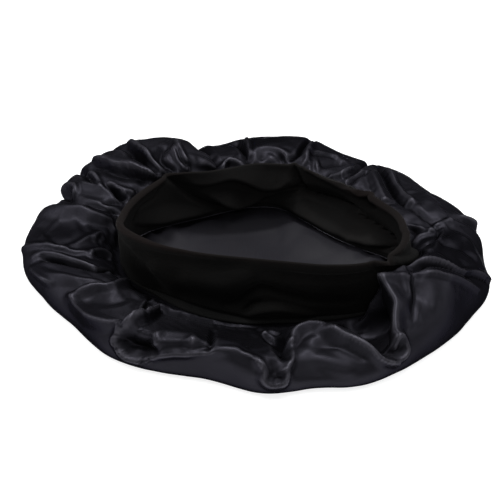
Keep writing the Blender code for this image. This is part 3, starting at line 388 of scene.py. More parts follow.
# Folds of the band, read in the same way. height: outward, or inward below 0. On the near wall left
# and right change places.
BAND_FOLDS = [
    fold("flap_crease", 0.5, (168, 177, 3, 8, 5), (177, 183, 7, 8, 5), (188, 192, 8, 8, 5),
         (200, 201, 8, 7, 5), (214, 207, 7, 6, 4), (226, 212, 4, 4, 4)),
    fold("flap", 0.6, (138, 223, -2, 14, 4), (152, 223, -5, 18, 4), (172, 220, -6, 18, 4),
         (192, 216, -6, 12, 4), (212, 212, -3, 6, 4)),
    fold("rim_strip", 0.6, (133, 222, 3, 4, 4), (140, 209, 4, 4, 4), (153, 200, 4, 4, 4),
         (160, 188, 3, 4, 4)),
    fold("upper_bank", 0.1, (178, 181, -2, 14, 4), (196, 184, -4, 18, 4), (212, 183, -4, 20, 4),
         (230, 178, -4, 20, 4), (245, 181, -5, 20, 4), (262, 187, -6, 22, 4), (276, 187, -6, 22, 4),
         (287, 184, -4, 16, 4)),
    fold("lens_shadow", 0.5, (205, 189, 2, 4, 5), (218, 185, 3, 4, 6), (235, 183, 4, 4, 6),
         (255, 190, 4, 4, 6), (272, 192, 4, 4, 5), (285, 190, 4, 4, 5), (300, 190, 4, 4, 5)),
    fold("lens", 0.1, (211, 197, -4, 8, 2), (224, 203, -10, 16, 2), (240, 204, -10, 16, 2),
         (258, 199, -6, 10, 2)),
    fold("lens_foot", 0.5, (226, 210, 2, 3, 5), (242, 207, 3, 3, 5), (262, 201, 5, 4, 6),
         (280, 196, 6, 4, 7), (298, 193, 6, 4, 7)),
    fold("peak_shadow", 0.5, (293, 168, 4, 7, 4), (294, 178, 8, 9, 4), (298, 187, 8, 9, 5)),
    fold("lip_shadow", 0.5, (298, 194, 6, 12, 3), (318, 200, 10, 16, 3), (338, 206, 11, 16, 3),
         (350, 211, 8, 12, 3)),
    fold("lip", 0.6, (306, 169, -2, 5, 3), (322, 175, -4, 6, 3), (340, 183, -5, 6, 3), (356, 190, -6, 6, 3),
         (365, 192, -6, 6, 3)),
    fold("tip_shadow", 0.4, (360, 199, 4, 3, 3), (370, 202, 7, 4, 4), (374, 208, 6, 4, 4)),
    fold("right_rim", 1, (378, 194, -5, 10, 8), (390, 200, -6, 12, 8), (402, 211, -4, 12, 8),
         (409, 226, -2, 10, 8)),
    fold("low_plane", 0.6, (276, 204, -2, 8, 4), (296, 213, -6, 16, 4), (316, 223, -7, 18, 4),
         (336, 233, -7, 18, 4), (350, 241, -4, 12, 4)),
    fold("right_gap", 0.3, (347, 212, 4, 10, 3), (358, 221, 9, 14, 3), (372, 230, 11, 16, 3),
         (385, 240, 11, 14, 3), (393, 249, 6, 8, 3)),
    fold("lap", 0.3, (350, 237, -3, 6, 3), (363, 240, -8, 8, 3), (377, 244, -9, 8, 3),
         (387, 246, -5, 6, 3)),
    fold("lap_shadow", 0.5, (364, 251, 4, 2, 4), (378, 255, 7, 3, 5), (390, 253, 5, 3, 4)),
    fold("front_end_crease", 1, (121, 244, -2, 9, 9), (131, 258, -3, 12, 12), (144, 273, -3, 12, 12),
         (158, 287, -2, 10, 10)),
    fold("under_rim", 1, (140, 252, -1, 8, 6), (170, 258, -3, 9, 6), (205, 262, -3, 9, 6),
         (240, 264, -1, 8, 6)),
    fold("under_rim_right", 1, (270, 272, -1, 8, 5), (300, 276, -3, 9, 5), (340, 277, -3, 9, 5),
         (370, 273, -2, 8, 5)),
    fold("front_left_plane", 1, (160, 272, 3, 12, 12), (175, 282, 3, 12, 12)),
    fold("front_middle_plane", 1, (195, 280, 4, 14, 14), (225, 284, 5, 14, 14), (240, 280, 3, 12, 14)),
    fold("front_arc", 0.4, (225, 306, -2, 6, 6), (240, 302, -5, 5, 8), (252, 292, -6, 5, 8),
         (268, 290, -7, 5, 8), (290, 297, -6, 5, 9), (318, 302, -6, 5, 9), (348, 303, -3, 5, 9)),
    fold("front_bulge", 0.6, (243, 317, 2, 5, 5), (256, 310, 5, 7, 5), (275, 307, 6, 8, 5),
         (295, 311, 4, 7, 5), (312, 316, 2, 5, 5)),
    fold("front_dart", 0.4, (245, 310, -3, 3, 4), (252, 305, -5, 3, 4), (259, 302, -3, 3, 4)),
    fold("front_foot", 0.6, (190, 304, 2, 5, 9), (215, 311, 3, 5, 9), (240, 317, 3, 5, 8)),
]

# How much of the welt's lower edge shows below the band, 1 being all.
Ledge = namedtuple("Ledge", "angle shown")
LEDGE = [
    Ledge(0, 0),
    Ledge(90, 0),
    Ledge(180, 0),
    Ledge(204, 0),
    Ledge(216, 1),
    Ledge(262, 1),
    Ledge(275, 0.3),
    Ledge(290, 0.5),
    Ledge(306, 0.5),
    Ledge(318, 0),
    Ledge(335, 0),
]

# Gathers from the seam. spacing: at the seam, millimetres. reach: how far out they go, as a run. sway:
# degrees that they wander on the way.
Scale = namedtuple("Scale", "zone spacing reach sway seed")
GATHERS = [
    Scale("fine", 6.5, 0.16, 6, 3),
    Scale("middle", 13, 0.34, 9, 4),
    Scale("broad", 29, 0.62, 12, 5),
]

# Height of the gathers, from the narrowest to the widest. Millimetres.
Zone = namedtuple("Zone", "angle fine middle broad")
ZONES = [
    Zone(0, 1.6, 1.5, 0.8),
    Zone(16, 1.5, 1.5, 0.8),
    Zone(28, 0.4, 0.6, 0.8),
    Zone(45, 0.3, 0.6, 0.8),
    Zone(62, 0.6, 1.0, 1.0),
    Zone(90, 0.6, 1.0, 1.0),
    Zone(112, 0.6, 1.0, 1.2),
    Zone(135, 0.5, 0.8, 1.0),
    Zone(152, 1.2, 1.2, 1.0),
    Zone(185, 1.5, 1.5, 1.0),
    Zone(212, 1.2, 1.2, 0.8),
    Zone(226, 0.1, 0.1, 0.2),
    Zone(260, 0.1, 0.1, 0.2),
    Zone(300, 0.1, 0.2, 0.3),
    Zone(322, 0.2, 0.3, 0.3),
    Zone(340, 1.2, 1.2, 0.6),
]
PLEAT_SHIFT = 0.28  # share of its width by which a gather's edge is out of place
PLEAT_SIZES = (0.45, 1.25)  # least and greatest height, as shares
PLEAT_LENGTHS = (0.55, 1.5)
PLEAT_ROUND = 0.85  # power that rounds a gather's back
PLEAT_START = 0.02  # run over which a gather rises at the seam
PLEAT_SEAM = 0.25  # share of that rise it has at the seam
DRIFT_WAVES = range(3, 9)  # waves round the head that the wandering is made of
DRIFT_PHASES = (0, 6.3)  # radians, a full turn

# Small unevenness. size and height: of the waves, millimetres.
Ripple = namedtuple("Ripple", "size height count seed")
SLACK = Ripple(46, 0.8, 40, 11)
CRUMPLE = Ripple(19, 0.15, 40, 12)
FLOOR_BROAD = Ripple(85, 1.6, 24, 21)
FLOOR_SMALL = Ripple(38, 0.8, 24, 22)
WAVE_SIZES = (0.7, 1.6)  # shares of the size
RIPPLE_FADE = 0.3  # run over which the unevenness starts at the seam
FLOOR_LEVEL = 1.2  # millimetres, and
FLOOR_TOP = 4  # the most that the floor inside rises by its waves
FLOOR_EASE = 3  # rings over which they start


def periodic(rows, column, at):
    """A table column as a smooth closed curve of the angle, read at the angles at."""
    angle = np.array([row.angle for row in rows], float)
    value = np.array([getattr(row, column) for row in rows], float)
    angle = np.concatenate([angle[-2:] - 360, angle, angle[:2] + 360])
    value = np.concatenate([value[-2:], value, value[:2]])
    slope = np.gradient(value, angle)
    at = np.mod(np.asarray(at, float), 360)
    i = np.clip(np.searchsorted(angle, at, side="right") - 1, 0, len(value) - 2)
    gap = angle[i + 1] - angle[i]
    t = (at - angle[i]) / gap
    level = value[i] * (2 * t**3 - 3 * t**2 + 1) + value[i + 1] * (3 * t**2 - 2 * t**3)
    return level + gap * (slope[i] * (t**3 - 2 * t**2 + t) + slope[i + 1] * (t**3 - t**2))


def through(points, count):
    """A smooth line of count points through these rows (Catmull-Rom), all columns alike."""
    points = np.asarray(points, float)
    ends = np.vstack([2 * points[0] - points[1], points, 2 * points[-1] - points[-2]])
    along = np.linspace(0, len(points) - 1, count)
    i = np.minimum(along.astype(int), len(points) - 2)
    t = (along - i)[:, None]
    p0, p1, p2, p3 = (ends[i + k] for k in range(4))
    curve = 2 * p1 + (p2 - p0) * t + (2 * p0 - 5 * p1 + 4 * p2 - p3) * t**2
    return (curve + (3 * p1 - p0 - 3 * p2 + p3) * t**3) / 2


def bezier(p0, p1, p2, p3, t):
    """Cubic Bezier curves, one a column: p (columns, 2), t (samples,), result (columns, samples, 2)."""
    t = t[None, :, None]
    p0, p1, p2, p3 = (p[:, None, :] for p in (p0, p1, p2, p3))
    return p0 * (1 - t) ** 3 + 3 * p1 * t * (1 - t) ** 2 + 3 * p2 * t**2 * (1 - t) + p3 * t**3


def divided(curve, shares):
    """The points at these shares of each curve's length, and the lengths."""
    steps = np.linalg.norm(np.diff(curve, axis=1), axis=2)
    length = np.concatenate([np.zeros((len(curve), 1)), np.cumsum(steps, axis=1)], axis=1)
    found = np.empty((len(curve), len(shares), 2))
    for k in range(len(curve)):
        for axis in range(2):
            found[k, :, axis] = np.interp(shares * length[k, -1], length[k], curve[k, :, axis])
    return found, length[:, -1]


def profile(away, soft):
    """Height across a fold, 1 on its line and 0 at its edge: round when soft is 1, a crease at 0."""
    return soft * (1 - away**2) ** 2 + (1 - soft) * (1 - away) ** 2 * (1 + away / 2)


def fold_height(line, soft, across, along, width_scale, length_scale):
    """Height of one fold over a grid. line: rows of angle, share, height and width of each flank."""
    line = through(line, FOLD_POINTS)
    best = np.full(across.shape, np.inf)
    height = np.zeros(across.shape)
    for a, b in zip(line[:-1], line[1:]):
        px = np.radians((across - a[0] + 180) % 360 - 180) * width_scale
        py = (along - a[1]) * length_scale
        qx = np.radians(b[0] - a[0]) * width_scale
        qy = (b[1] - a[1]) * length_scale
        t = np.clip((px * qx + py * qy) / (qx**2 + qy**2 + TINY), 0, 1)
        dx = px - t * qx
        dy = py - t * qy
        side = qx * dy - qy * dx
        flank = np.where(side < 0, a[3] + (b[3] - a[3]) * t, a[-1] + (b[-1] - a[-1]) * t) * MM
        away = np.hypot(dx, dy) / flank
        nearer = away < best
        best = np.where(nearer, away, best)
        height = np.where(nearer, a[2] + (b[2] - a[2]) * t, height)
    return height * profile(np.minimum(best, 1), soft) * MM


def seen(points):
    """Where points appear in the photograph, in pixels, and how deep in it they lie."""
    tilt = math.radians(CAMERA_TILT)
    away = points - np.array(CAMERA)
    depth = away @ np.array([0, math.sin(tilt), -math.cos(tilt)])
    rise = away @ np.array([0, math.cos(tilt), math.sin(tilt)])
    focal = LENS / FILM * PHOTO
    return PHOTO / 2 + focal * away[..., 0] / depth, PHOTO / 2 - focal * rise / depth, depth


def spot_on(spot, satin, normals, facing, angle, run):
    """A spot as angle, run, height and flanks, where the cloth is that is seen at the spot."""
    top = spot.height if spot.height > 0 else spot.height * VALLEY_SEEN
    x, y, depth = seen(satin + normals * top * MM)
    off = np.where(facing, np.hypot(x - spot.x, y - spot.y), np.inf)
    near = np.where(off < off.min() + PLACE_SLACK, depth, np.inf)
    i, k = np.unravel_index(np.argmin(near), near.shape)
    return [angle[i], run[k] + spot.past, spot.height, spot.left, spot.right]


def width(fold):
    """Of a fold at its widest spot, millimetres."""
    return max(spot.left + spot.right for spot in fold.spots)


def line_of(fold, surface, normals, facing, angle, run):
    """The fold's spots as rows of angle, run, height and flanks, with angles that don't jump."""
    line = np.array([spot_on(spot, surface, normals, facing, angle, run) for spot in fold.spots], float)
    line[:, 0] = np.degrees(np.unwrap(np.radians(line[:, 0])))
    return line


def placed_folds():
    """Every fold's line, the wide ones first, each on the satin as those before left it."""
    angle, section, run, length = crown_sections(PLACE_COLUMNS)
    across, along = np.broadcast_arrays(angle[:, None], run[None, :])
    flat = turned(section, angle)
    normals = grid_normals(flat)
    height = np.zeros(across.shape)
    lines = {}
    for each in sorted(FOLDS, key=width, reverse=True):
        satin = shaped(flat, normals, height, along)
        facing = np.einsum("ijk,ijk->ij", grid_normals(satin), np.array(CAMERA) - satin) > 0
        line = line_of(each, satin, normals, facing, angle, run)
        lines[each.name] = line
        height += fold_height(line, each.soft, across, along, section[..., 0], length[:, None])
    return lines


def shaped(flat, normals, height, along):
    """The satin at this height over its plain form, faded out at the seam and on the surface."""
    height = height * smooth_step(along / SEAM_FADE) * smooth_step((1 + UNDER_RUN - along) / FLOOR_FADE)
    return lifted(flat + normals * height[..., None] + np.array([*HEAD_CENTRE, 0]), along)


def lifted(satin, along):
    """The satin eased off the surface on top, and not below it underneath."""
    satin = satin.copy()
    over = satin[..., 2] - LEAST_HEIGHT
    eased = LEAST_HEIGHT + (over + np.hypot(over, CLEARANCE)) / 2
    satin[..., 2] = np.where((along > 0) & (along < 1), eased, np.maximum(satin[..., 2], 0))
    return satin


def smooth_step(x):
    """0 up to 0, 1 from 1 on, and an even S between."""
    x = np.clip(x, 0, 1)
    return x * x * (3 - 2 * x)


def turned(section, angle):
    """Radius and height at each angle, as points."""
    turn = np.radians(angle)[:, None]
    return np.stack([section[..., 0] * np.cos(turn), section[..., 0] * np.sin(turn), section[..., 1]], 2)


def grid_normals(grid):
    """Directions away from the cloth, up at the seam and outward at the widest line."""
    round_way = np.roll(grid, -1, 0) - np.roll(grid, 1, 0)
    out_way = np.gradient(grid, axis=1)
    normal = np.cross(out_way, round_way)
    return normal / np.linalg.norm(normal, axis=2, keepdims=True)


def band_line(columns, rows, folded=True):
    """Middle of the band's wall (columns, rows, 3) and the outward direction there."""
    angle = np.arange(columns) * 360 / columns
    foot, rim, rim_z, belly = (periodic(BAND, c, angle) * MM for c in ("foot", "rim", "rim_z", "belly"))
    foot_z = periodic(BAND, "foot_z", angle) * MM + WELT_HEIGHT + SEAM_GAP
    up = np.linspace(0, 1, rows)[None, :]
    radius = foot[:, None] + (rim - foot)[:, None] * up + belly[:, None] * 4 * up * (1 - up)
    height = foot_z[:, None] + (rim_z - foot_z)[:, None] * up
    across = np.broadcast_to(angle[:, None], radius.shape)
    along = np.broadcast_to(up, radius.shape)
    line = turned(np.stack([radius, height], 2), angle)
    if folded:
        out = np.zeros(radius.shape)
        for soft, path in placed_band_folds():
            out += fold_height(path, soft, across, along, radius, WALL_LENGTH)
        radius = radius + out * smooth_step(along / FOOT_FADE)
        line = turned(np.stack([radius, height], 2), angle)
    outward = -grid_normals(line)
    outward[:, 0, 2] = 0
    outward[:, 0] /= np.linalg.norm(outward[:, 0], axis=1, keepdims=True)
    return line + np.array([*HEAD_CENTRE, 0]), outward


def placed_band_folds():
    """Softness of each fold of the band, and its line as angles and heights along the wall."""
    line, outward = band_line(BAND_COLUMNS, BAND_ROWS + 1, folded=False)
    angle = np.arange(BAND_COLUMNS) * 360 / BAND_COLUMNS
    up = np.linspace(0, 1, BAND_ROWS + 1)
    still = outward * 0
    return [(each.soft, line_of(each, line, still, True, angle, up)) for each in BAND_FOLDS]


def ripples(points, ripple):
    """Smooth unevenness in millimetres, the sum of waves in random directions."""
    random = np.random.default_rng(ripple.seed)
    count = ripple.count
    ways = random.normal(size=(count, 3))
    ways /= np.linalg.norm(ways, axis=1, keepdims=True)
    ways *= 2 * np.pi / (ripple.size * MM * random.uniform(*WAVE_SIZES, (count, 1)))
    starts = random.uniform(0, 2 * np.pi, count)
    total = sum(np.sin(points @ way + start) for way, start in zip(ways, starts))
    return total / math.sqrt(count / 2) / 2 * ripple.height


def pleats(angle, run, scale, heights):
    """Gathers that start at the seam: narrow rounded tubes with sharp valleys between them."""
    random = np.random.default_rng(scale.seed)
    foot = periodic(BAND, "foot", np.arange(360))
    count = int(round(foot.mean() * 2 * np.pi / scale.spacing))
    edges = (np.arange(count) + random.uniform(-PLEAT_SHIFT, PLEAT_SHIFT, count)) * 360 / count
    edges = np.concatenate([edges, edges[:1] + 360])
    size = random.uniform(*PLEAT_SIZES, count)
    length = scale.reach * random.uniform(*PLEAT_LENGTHS, count)
    drift = np.zeros(angle.shape)
    for k in DRIFT_WAVES:
        drift += np.sin(np.radians(angle) * k + random.uniform(*DRIFT_PHASES)) * random.normal() / k
    place = (angle + scale.sway * drift * run - edges[0]) % 360 + edges[0]
    which = np.clip(np.searchsorted(edges, place, side="right") - 1, 0, count - 1)
    share = (place - edges[which]) / (edges[which + 1] - edges[which])
    tube = np.sin(np.pi * share) ** PLEAT_ROUND
    fade = np.exp(-((run / length[which]) ** 2)) * smooth_step(run / PLEAT_START + PLEAT_SEAM)
    return heights * size[which] * tube * fade


def crown_sections(columns):
    """Angle and plain section of the crown at each column, each row's run, and the top's lengths."""
    angle = np.arange(columns) * 360 / columns
    reach, edge = (periodic(CROWN, c, angle) * MM for c in ("reach", "edge"))
    crest, tuck = (periodic(CROWN, c, angle) * MM for c in ("crest", "tuck"))
    share = periodic(CROWN, "share", angle)
    puff = periodic(CROWN, "puff", angle)
    seam = periodic(BAND, "foot", angle) * MM - SEAM_INSET
    seam_z = periodic(BAND, "foot_z", angle) * MM - SEAM_GAP
    lip = seam + SEAM_LIP
    out = np.maximum(share * (reach - lip), LEAST_OUT)
    zero = np.zeros(columns)
    p0 = np.stack([lip, seam_z], 1)
    p3 = np.stack([lip + out, crest], 1)
    p6 = np.stack([reach, edge], 1)
    p9 = np.stack([reach - tuck, zero], 1)
    t = np.linspace(0, 1, CURVE_SAMPLES)
    low = np.maximum(out * (LOW_HANDLE - PUFF_LESS * puff), LEAST_HANDLE)
    high = out * (CREST_HANDLE + PUFF_MORE * puff)
    rise = bezier(p0, p0 + np.stack([low, zero], 1), p3 - np.stack([high, zero], 1), p3, t)
    fall = bezier(p3, p3 + np.stack([(p6 - p3)[:, 0] * ARC, zero], 1),
                  p6 + np.stack([zero, (p3 - p6)[:, 1] * ARC], 1), p6, t)
    under = bezier(p6, p6 - np.stack([zero, edge * ARC], 1), p9 + np.stack([tuck * ARC, zero], 1), p9, t)
    lip_share = np.linspace(0, 1, SEAM_ROWS)[:-1]
    start = np.stack([seam, seam_z], 1)
    lip_points = start[:, None] + (p0 - start)[:, None] * lip_share[None, :, None]
    run = np.linspace(0, 1, TOP_ROWS)
    top, length = divided(np.concatenate([rise, fall[:, 1:]], axis=1), run)
    below, _ = divided(under, np.linspace(0, 1, UNDER_ROWS + 1)[1:])
    section = np.concatenate([lip_points, top, below], axis=1)
    under_runs = 1 + np.arange(1, UNDER_ROWS + 1) * UNDER_RUN / UNDER_ROWS
    run = np.concatenate([np.zeros(SEAM_ROWS - 1), run, under_runs])
    return angle, section, run, length


def crown_surface():
    """Outer face of the crown's top and sides, gathered and folded: (columns, rows, 3)."""
    angle, section, run, length = crown_sections(CROWN_COLUMNS)
    flat = turned(section, angle)
    normals = grid_normals(flat)
    across = np.broadcast_to(angle[:, None], section.shape[:2])
    along = np.broadcast_to(run[None, :], section.shape[:2])
    lines = placed_folds()
    height = np.zeros(across.shape)
    for each in FOLDS:
        line = lines[each.name]
        height += fold_height(line, each.soft, across, along, section[..., 0], length[:, None])
    height += ripples(flat, SLACK) * MM * smooth_step(along / RIPPLE_FADE)
    moved = np.zeros(flat.shape)
    moved = cloth_moves(shaped(flat, normals, height, along), run)
    for scale in GATHERS:
        height += pleats(across, along, scale, periodic(ZONES, scale.zone, angle)[:, None] * MM)
    height += ripples(flat, CRUMPLE) * MM * smooth_step(along / RIPPLE_FADE)
    return lifted(clear_of_band(shaped(flat, normals, height, along) + moved), along), run


def clear_of_band(satin):
    """The satin kept outside the band, up to its rim."""
    line, outward = band_line(BAND_COLUMNS, BAND_ROWS + 1)
    wall = line + outward * (BAND_WALL / 2 + BAND_CLEARANCE)
    wall = np.concatenate([wall, wall[:1]]) - np.array([*HEAD_CENTRE, 0])
    away = satin - np.array([*HEAD_CENTRE, 0])
    reach = np.hypot(away[..., 0], away[..., 1])
    column = np.degrees(np.arctan2(away[..., 1], away[..., 0])) % 360 / 360 * BAND_COLUMNS
    column = np.round(column).astype(int)
    radius = np.hypot(wall[..., 0], wall[..., 1])[column]
    height = wall[..., 2][column]
    row = np.argmin(np.abs(height - satin[..., 2:]), axis=2)
    least = np.take_along_axis(radius, row[..., None], 2)[..., 0]
    level = satin[..., 2]
    beside = (level > height[..., 0] + BESIDE_FROM) & (level < height[..., -1] + RIM_ROLL / 2)
    push = np.where(beside, np.maximum(least - reach, 0), 0)
    satin = satin.copy()
    satin[..., :2] += away[..., :2] / reach[..., None] * push[..., None]
    return satin


def weigh(sheet, name, weights):
    """A vertex group with these weights, in even steps."""
    group = sheet.vertex_groups.new(name=name)
    steps = np.round(weights.ravel() * WEIGHT_STEPS).astype(int)
    for step in range(1, WEIGHT_STEPS + 1):
        group.add(np.flatnonzero(steps == step).tolist(), step / WEIGHT_STEPS, "REPLACE")


def cloth_moves(satin, run):
    """How far a cloth simulation moves the satin: it grows a little and buckles past its seam."""
    first = SEAM_ROWS - 1
    coarse = satin[::2, first::2]
    columns, rows = coarse.shape[:2]
    faces = ring_faces(columns, rows, False)
    sheet = object_from("settling", coarse.reshape(-1, 3), faces, np.zeros((columns * rows, 2)))
    edge = smooth_step((run[first::2] - EDGE_FROM) / EDGE_OVER)[None, :]
    turn = np.arange(columns) / columns * 2 * np.pi
    front = smooth_step((FRONT_FROM - np.sin(turn)) / FRONT_OVER)[:, None]
    held = CLOTH_HOLD + edge * (EDGE_HOLD + EDGE_HOLD_FRONT * front)
    held[:, 0] = 1
    held[:, -2:] = 1
    kept = 1 - (1 - FRONT_KEEPS * front) * (1 - edge * (EDGE_KEEPS + EDGE_KEEPS_FRONT * front))
    weigh(sheet, "held", held)
    weigh(sheet, "kept", kept)
    modifier = sheet.modifiers.new("cloth", "CLOTH")
    cloth = modifier.settings
    for name, value in CLOTH.items():
        setattr(cloth, name, value)
    cloth.shrink_min = -CLOTH_GROWTH
    cloth.vertex_group_shrink = "kept"
    cloth.vertex_group_mass = "held"
    cloth.effector_weights.gravity = 0
    modifier.collision_settings.use_collision = False
    modifier.point_cache.frame_start = 1
    modifier.point_cache.frame_end = CLOTH_STEPS
    for step in range(1, CLOTH_STEPS + 1):
        bpy.context.scene.frame_set(step)
    settled = sheet.evaluated_get(bpy.context.evaluated_depsgraph_get()).data
    places = np.empty(columns * rows * 3)
    settled.vertices.foreach_get("co", places)
    bpy.context.scene.frame_set(1)
    bpy.data.objects.remove(sheet, do_unlink=True)
    moves = places.reshape(columns, rows, 3) - coarse
    fine = np.zeros(satin.shape)
    fine[::2, first::2] = moves
    fine[1::2, first::2] = (moves + np.roll(moves, -1, 0)) / 2
    fine[:, first + 1:-1:2] = (fine[:, first:-2:2] + fine[:, first + 2::2]) / 2
    fine = (np.roll(fine, 1, 0) + 2 * fine + np.roll(fine, -1, 0)) / 4
    fine[:, 1:-1] = (fine[:, :-2] + 2 * fine[:, 1:-1] + fine[:, 2:]) / 4
    return fine


def floor_rows(edge, rows):
    """Rings of the crown's floor, from its edge in to near the middle."""
    centre = np.array([*HEAD_CENTRE, 0])
    shares = np.linspace(1, 0, rows + 1)[1:-1, None]
    return centre + (edge - centre)[:, None] * np.concatenate([shares, [[FLOOR_MIDDLE]]])[None]


def build_crown():
    """The crown as one shell: its outer face with the sole, and its inner face with the floor inside."""
    satin, run = crown_surface()
    outer = np.concatenate([satin, floor_rows(satin[:, -1], SOLE_ROWS)], axis=1)
    inner = np.concatenate([satin, floor_rows(satin[:, -1], FLOOR_ROWS)], axis=1)
    inner_flat = flat_radii(inner)
    inner = inner - grid_normals(inner) * SATIN_WALL
    inner[:, 0] = outer[:, 0] - np.array([0, 0, SATIN_WALL])
    inner[:, :, 2] = np.maximum(inner[:, :, 2], SATIN_WALL)
    plan = inner * np.array([1, 1, 0])
    rise = np.clip(ripples(plan, FLOOR_BROAD) + ripples(plan, FLOOR_SMALL) + FLOOR_LEVEL, 0, FLOOR_TOP) * MM
    share = np.concatenate([np.zeros(len(run)), smooth_step(np.arange(1, FLOOR_ROWS + 1) / FLOOR_EASE)])
    away = inner[..., :2] - np.array(HEAD_CENTRE)
    angle = np.arange(len(inner)) * 360 / len(inner)
    foot = periodic(BAND, "foot", angle)[:, None] * MM
    inward = foot - np.hypot(away[..., 0], away[..., 1])
    slope = 1 - np.maximum(inward, 0) / (periodic(FLOOR, "reach", angle)[:, None] * MM)
    slope = (slope + np.hypot(slope, FLOOR_SOFT)) / 2
    rise += periodic(FLOOR, "rise", angle)[:, None] * MM * slope
    inner[..., 2] += rise * smooth_step(1 + inward / FLOOR_BEYOND) * share[None]
    shell = np.concatenate([outer[:, ::-1], inner], axis=1)
    points = shell.shape[1]
    count = len(shell)
    ends = [outer[:, -1].mean(0), inner[:, -1].mean(0)]
    vertices = np.concatenate([shell.reshape(-1, 3), ends])
    faces = ring_faces(count, points, False)
    for i in range(count):
        j = (i + 1) % count
        faces.append((i * points, count * points, j * points))
        faces.append((j * points + points - 1, count * points + 1, i * points + points - 1))
    flat_radius = np.concatenate([flat_radii(outer)[:, ::-1], inner_flat], axis=1)
    turn = np.arange(count) / count * 2 * np.pi
    flat = np.stack([flat_radius * np.cos(turn)[:, None], flat_radius * np.sin(turn)[:, None]], 2)
    flat = np.concatenate([flat.reshape(-1, 2), np.zeros((2, 2))])
    crown = object_from("satin_crown", vertices, faces, flat)
    side = (np.arange(points - 1) >= outer.shape[1]).astype(int)
    sides = np.concatenate([np.tile(side, count), np.tile([0, 1], count)])
    crown.data.polygons.foreach_set("material_index", sides)
    return crown


def flat_radii(grid):
    """Mean distance of each row from the middle of the crown's floor, measured along the satin."""
    steps = np.linalg.norm(np.diff(grid[:, ::-1], axis=1), axis=2)
    radii = np.concatenate([np.zeros((len(grid), 1)), np.cumsum(steps, axis=1)], axis=1)[:, ::-1]
    return np.broadcast_to(radii.mean(0), radii.shape)


def band_loop():
    """Closed section of the band at each column: up the outside, over the rim and down the inside."""
    line, outward = band_line(BAND_COLUMNS, BAND_ROWS + 1)
    up = np.linspace(0, 1, BAND_ROWS + 1)
    turn = np.arange(BAND_COLUMNS) / BAND_COLUMNS * 2 * np.pi
    ends = smooth_step((np.abs(np.cos(turn)) - ENDS_FROM) / ENDS_OVER)
    roll_wide = (RIM_ROLL + (RIM_ROLL_ENDS - RIM_ROLL) * ends)[:, None]
    half = BAND_WALL / 2 + (roll_wide - BAND_WALL) / 2 * smooth_step((up - ROLL_FROM) / ROLL_OVER)[None]
    offset = outward * half[:, :, None]
    rise = line[:, -1] - line[:, -2]
    rise /= np.linalg.norm(rise, axis=1, keepdims=True)
    over = np.linspace(0, np.pi, RIM_STEPS + 1)[1:-1]
    wide = outward[:, -1][:, None] * (np.cos(over)[None, :, None] * roll_wide[..., None] / 2)
    rim = line[:, -1][:, None] + wide + rise[:, None] * np.sin(over)[None, :, None] * RIM_RISE
    return np.concatenate([line + offset, rim, (line - offset)[:, ::-1]], axis=1)


def build_band():
    """The band, and where its rim starts and ends across the flat cloth."""
    loop = band_loop()
    steps = np.linalg.norm(np.diff(loop, axis=1), axis=2).mean(0)
    over = np.concatenate([[0], np.cumsum(steps)])
    foot = periodic(BAND, "foot", np.arange(360)).mean() * MM
    round_way = np.arange(BAND_COLUMNS) / BAND_COLUMNS * 2 * np.pi * foot
    flat = np.stack(np.broadcast_arrays(round_way[:, None], over[None]), 2)
    faces = ring_faces(BAND_COLUMNS, loop.shape[1], True)
    band = object_from("knit_band", loop.reshape(-1, 3), faces, flat.reshape(-1, 2))
    return band, (over[BAND_ROWS], over[BAND_ROWS + RIM_STEPS])


def build_welt():
    """The turned and stitched edge between the band and the crown, puckered by its stitches."""
    columns = BAND_COLUMNS * 2
    angle = np.arange(columns) * 360 / columns
    foot = periodic(BAND, "foot", angle)[:, None] * MM
    low = periodic(BAND, "foot_z", angle)[:, None] * MM
    turn = np.linspace(0, 2 * np.pi, WELT_POINTS, endpoint=False)
    wide = np.sign(np.cos(turn)) * np.abs(np.cos(turn)) ** WELT_SQUARE
    shown = periodic(LEDGE, "shown", angle)[:, None]
    outside = WELT_HIDDEN + (WELT_LEDGE - WELT_HIDDEN) * shown
    wide = wide * np.where(wide > 0, outside, WELT_INSIDE)
    tall = np.sign(np.sin(turn)) * np.abs(np.sin(turn)) ** WELT_SQUARE * WELT_HEIGHT / 2
    pull = STITCH_DEPTH * np.abs(np.sin(np.radians(angle) * STITCHES))[:, None]
    stitch = 1 - pull * (1 - STITCH_LESS * shown)
    slope = np.where(wide > 0, (0.5 - tall / WELT_HEIGHT) * WELT_SLOPE, 0) * shown
    radius = foot + (wide + slope) * stitch
    height = low + WELT_HEIGHT / 2 + tall[None] * stitch
    loop = turned(np.stack([radius, height], 2), angle) + np.array([*HEAD_CENTRE, 0])
    round_way = foot.mean() * np.radians(angle)[:, None]
    flat = np.stack(np.broadcast_arrays(round_way, WELT_STRIP * turn[None]), 2)
    faces = ring_faces(columns, len(turn), True)
    return object_from("welt_strip", loop[:, ::-1].reshape(-1, 3), faces, flat.reshape(-1, 2))


def ring_faces(columns, points, closed):
    """Quads of a grid that closes round the head opening, and across too when closed."""
    faces = []
    for i in range(columns):
        j = (i + 1) % columns
        for k in range(points if closed else points - 1):
            m = (k + 1) % points
            faces.append((i * points + k, j * points + k, j * points + m, i * points + m))
    return faces


def object_from(name, vertices, faces, flat):
    """A smooth mesh, with flat as each vertex's place on the cloth before it was sewn."""
    mesh = bpy.data.meshes.new(name)
    mesh.from_pydata([tuple(v) for v in vertices], [], faces)
    mesh.update()
    layer = mesh.uv_layers.new(name="flat")
    corners = np.empty(len(mesh.loops), int)
    mesh.loops.foreach_get("vertex_index", corners)
    layer.data.foreach_set("uv", flat[corners].astype(np.float32).ravel())
    mesh.shade_smooth()
    obj = bpy.data.objects.new(name, mesh)
    bpy.context.scene.collection.objects.link(obj)
    return obj


